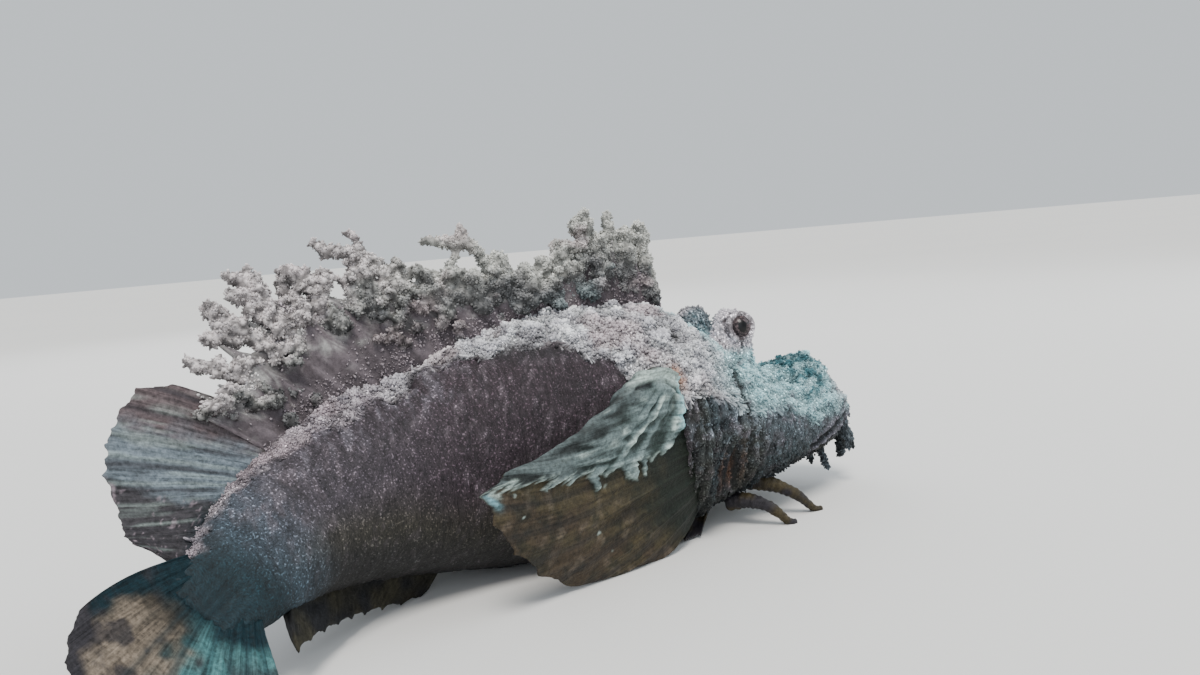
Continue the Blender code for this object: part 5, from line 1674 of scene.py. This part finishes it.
class DEVILFISH_OT_fin_crust(bpy.types.Operator):
    """Grows the crust on the spiny back fin and its branches"""
    bl_idname = "devilfish.fin_crust"
    bl_label = "Fin crust"

    def execute(self, context):
        mesh = bpy.data.objects["crest_growth"].data
        points, _ = read(mesh)
        s = uncarry(points)[0]
        thick = 0.2 + ease(kept(mesh, "local_height"), -0.5, 0.4)
        count = context.scene.devilfish_sizes.crust_piece
        for word, part, seed in (("front", ease(108 - s, 0, 4), 300), ("rear", ease(s, 104, 108), 301)):
            grown("crust_crest_" + word, "crest_growth", thick * part, count, 0.72, seed, "crusted_fin")
        points, _ = read(bpy.data.objects["spiny_back_fin"].data)
        s, _, height = uncarry(points)
        high = crest_height(s, height)
        ends = 0.2 + ease(high, 0.5, 0.8) + ease(0.35 - high, 0, 0.25)
        patchy = ease(noise(points, 5.0, 73), -0.4, 0.5) * ends
        grown("crust_membrane", "spiny_back_fin", patchy, count // 2, 0.62, 302, "crusted_fin", bright=2.6)
        return {"FINISHED"}


# Camera, as fitted to the photograph: millimetres and degrees, measured from a place on the body's axis.
CAMERA_FROM_PLACE = 100.0
CAMERA_DISTANCE = 226.0
CAMERA_HEIGHT = 78.0
CAMERA_OFFSET = -21.0
CAMERA_AZIMUTH = 36.0
CAMERA_PITCH = 6.0
CAMERA_ROLL = 5.0
CAMERA_LENS = 28.5

# Floor and lights, in metres, watts and degrees: each lamp's name, place, width, power and colour.
FLOOR_RADIUS = 9.0
KEY_STRENGTH = 3.0
KEY_SPREAD = 22.0
KEY_AHEAD = (0.25, 0.4, -0.9)
LAMPS_AIM = (0, 0, 0.04)
LAMPS = (("fill", (-0.6, -0.7, 0.3), 0.8, 2.0, "#eef4ff"),
         ("front", (0.75, -0.25, 0.45), 0.6, 2.5, "#f2fbff"),
         ("rim", (0.2, 0.8, 0.6), 0.7, 2.5, "#f4f8ff"))


class DEVILFISH_OT_stage(bpy.types.Operator):
    """Builds the pale floor, the studio lights and the camera"""
    bl_idname = "devilfish.stage"
    bl_label = "Stage"

    def execute(self, context):
        self.floor()
        self.lights(context)
        self.camera(context)
        return {"FINISHED"}

    def floor(self):
        """A wide flat disc: rings of growing radius round the middle."""
        radius = np.geomspace(0.05, FLOOR_RADIUS, 16)
        angle = np.arange(96) / 96 * 2 * math.pi
        rings = radius[:, None, None] * xyz(np.cos(angle), np.sin(angle), 0)
        quads = tube_faces(*rings.shape[:2])
        hub = np.stack([np.roll(np.arange(96), -1), np.arange(96), np.full(96, rings.size // 3)], -1)
        faces = np.concatenate([quads[:, [0, 1, 2]], quads[:, [0, 2, 3]], hub])
        points = np.concatenate([rings.reshape(-1, 3), [[0, 0, 0]]])
        mesh = bpy.data.meshes.new("studio_floor")
        fill(mesh, points * 1000 + SHIFT, faces[:, ::-1])
        mesh.materials.append(studio_floor())
        mesh.shade_smooth()
        thing = bpy.data.objects.new("studio_floor", mesh)
        bpy.context.scene.collection.objects.link(thing)

    def lights(self, context):
        """A broad soft light from above, area lights aimed at the fish, and a pale surround."""
        sun = bpy.data.lights.new("key", "SUN")
        sun.energy, sun.angle, sun.color = KEY_STRENGTH, math.radians(KEY_SPREAD), rgba("#fffaf2")[:3]
        thing = bpy.data.objects.new("key", sun)
        context.scene.collection.objects.link(thing)
        thing.matrix_world = aimed(np.array(KEY_AHEAD)).to_4x4()
        for name, place, wide, power, code in LAMPS:
            lamp = bpy.data.lights.new(name, "AREA")
            lamp.size, lamp.energy, lamp.color = wide, power, rgba(code)[:3]
            thing = bpy.data.objects.new(name, lamp)
            context.scene.collection.objects.link(thing)
            ahead = np.array(LAMPS_AIM) - place
            thing.matrix_world = Matrix.Translation(place) @ aimed(ahead).to_4x4()
        world = bpy.data.worlds.new("surround")
        world.use_nodes = True
        world.node_tree.nodes["Background"].inputs["Color"].default_value = rgba("#e6edf2")
        world.node_tree.nodes["Background"].inputs["Strength"].default_value = 0.95
        context.scene.world = world

    def camera(self, context):
        """The camera at the photograph's place, tilt and roll."""
        azimuth, pitch, roll = (math.radians(v) for v in (CAMERA_AZIMUTH, CAMERA_PITCH, CAMERA_ROLL))
        flat = np.array([math.sin(azimuth), math.cos(azimuth), 0])
        level = np.array([math.cos(azimuth), -math.sin(azimuth), 0])
        up = np.array([0, 0, 1.0])
        place = (carry(CAMERA_FROM_PLACE, 0, 0) - flat * CAMERA_DISTANCE - level * CAMERA_OFFSET
                 + up * CAMERA_HEIGHT)
        ahead = flat * math.cos(pitch) - up * math.sin(pitch)
        high = flat * math.sin(pitch) + up * math.cos(pitch)
        right = level * math.cos(roll) - high * math.sin(roll)
        above = level * math.sin(roll) + high * math.cos(roll)
        camera = bpy.data.objects.new("camera", bpy.data.cameras.new("camera"))
        camera.data.lens = CAMERA_LENS
        camera.data.clip_start, camera.data.clip_end = 0.005, 20
        turned = np.eye(4)
        turned[:3, 0], turned[:3, 1], turned[:3, 2], turned[:3, 3] = right, above, -ahead, to_model(place)
        camera.matrix_world = Matrix(turned.tolist())
        context.scene.collection.objects.link(camera)
        context.scene.camera = camera


def aimed(ahead):
    """The turn that points a light along a direction."""
    back = -ahead / np.linalg.norm(ahead)
    right = np.cross([0, 0, 1.0], back)
    right /= np.linalg.norm(right)
    return Matrix(np.stack([right, np.cross(back, right), back], 1).tolist())


STEPS = (DEVILFISH_OT_stage, DEVILFISH_OT_skin, DEVILFISH_OT_eyes, DEVILFISH_OT_back_fin,
         DEVILFISH_OT_rear_fins, DEVILFISH_OT_breast_fins, DEVILFISH_OT_body_crust, DEVILFISH_OT_fin_crust)


class DEVILFISH_PT_panel(bpy.types.Panel):
    """Sizes, colours and the steps that build the fish"""
    bl_idname = "DEVILFISH_PT_panel"
    bl_label = "Devilfish"
    bl_space_type = "VIEW_3D"
    bl_region_type = "UI"
    bl_category = "Devilfish"

    def draw(self, context):
        for name in DevilfishSizes.__annotations__:
            self.layout.prop(context.scene.devilfish_sizes, name)
        for name in DevilfishColours.__annotations__:
            self.layout.prop(context.scene.devilfish_colours, name)
        for step in STEPS:
            self.layout.operator(step.bl_idname)


CLASSES = (DevilfishSizes, DevilfishColours, *STEPS, DEVILFISH_PT_panel)


def register():
    for each in CLASSES:
        bpy.utils.register_class(each)
    bpy.types.Scene.devilfish_sizes = bpy.props.PointerProperty(type=DevilfishSizes)
    bpy.types.Scene.devilfish_colours = bpy.props.PointerProperty(type=DevilfishColours)


def unregister():
    del bpy.types.Scene.devilfish_colours
    del bpy.types.Scene.devilfish_sizes
    for each in reversed(CLASSES):
        bpy.utils.unregister_class(each)


def main():
    register()
    for step in STEPS:
        group, name = step.bl_idname.split(".")
        getattr(getattr(bpy.ops, group), name)()


if __name__ == "__main__":
    main()
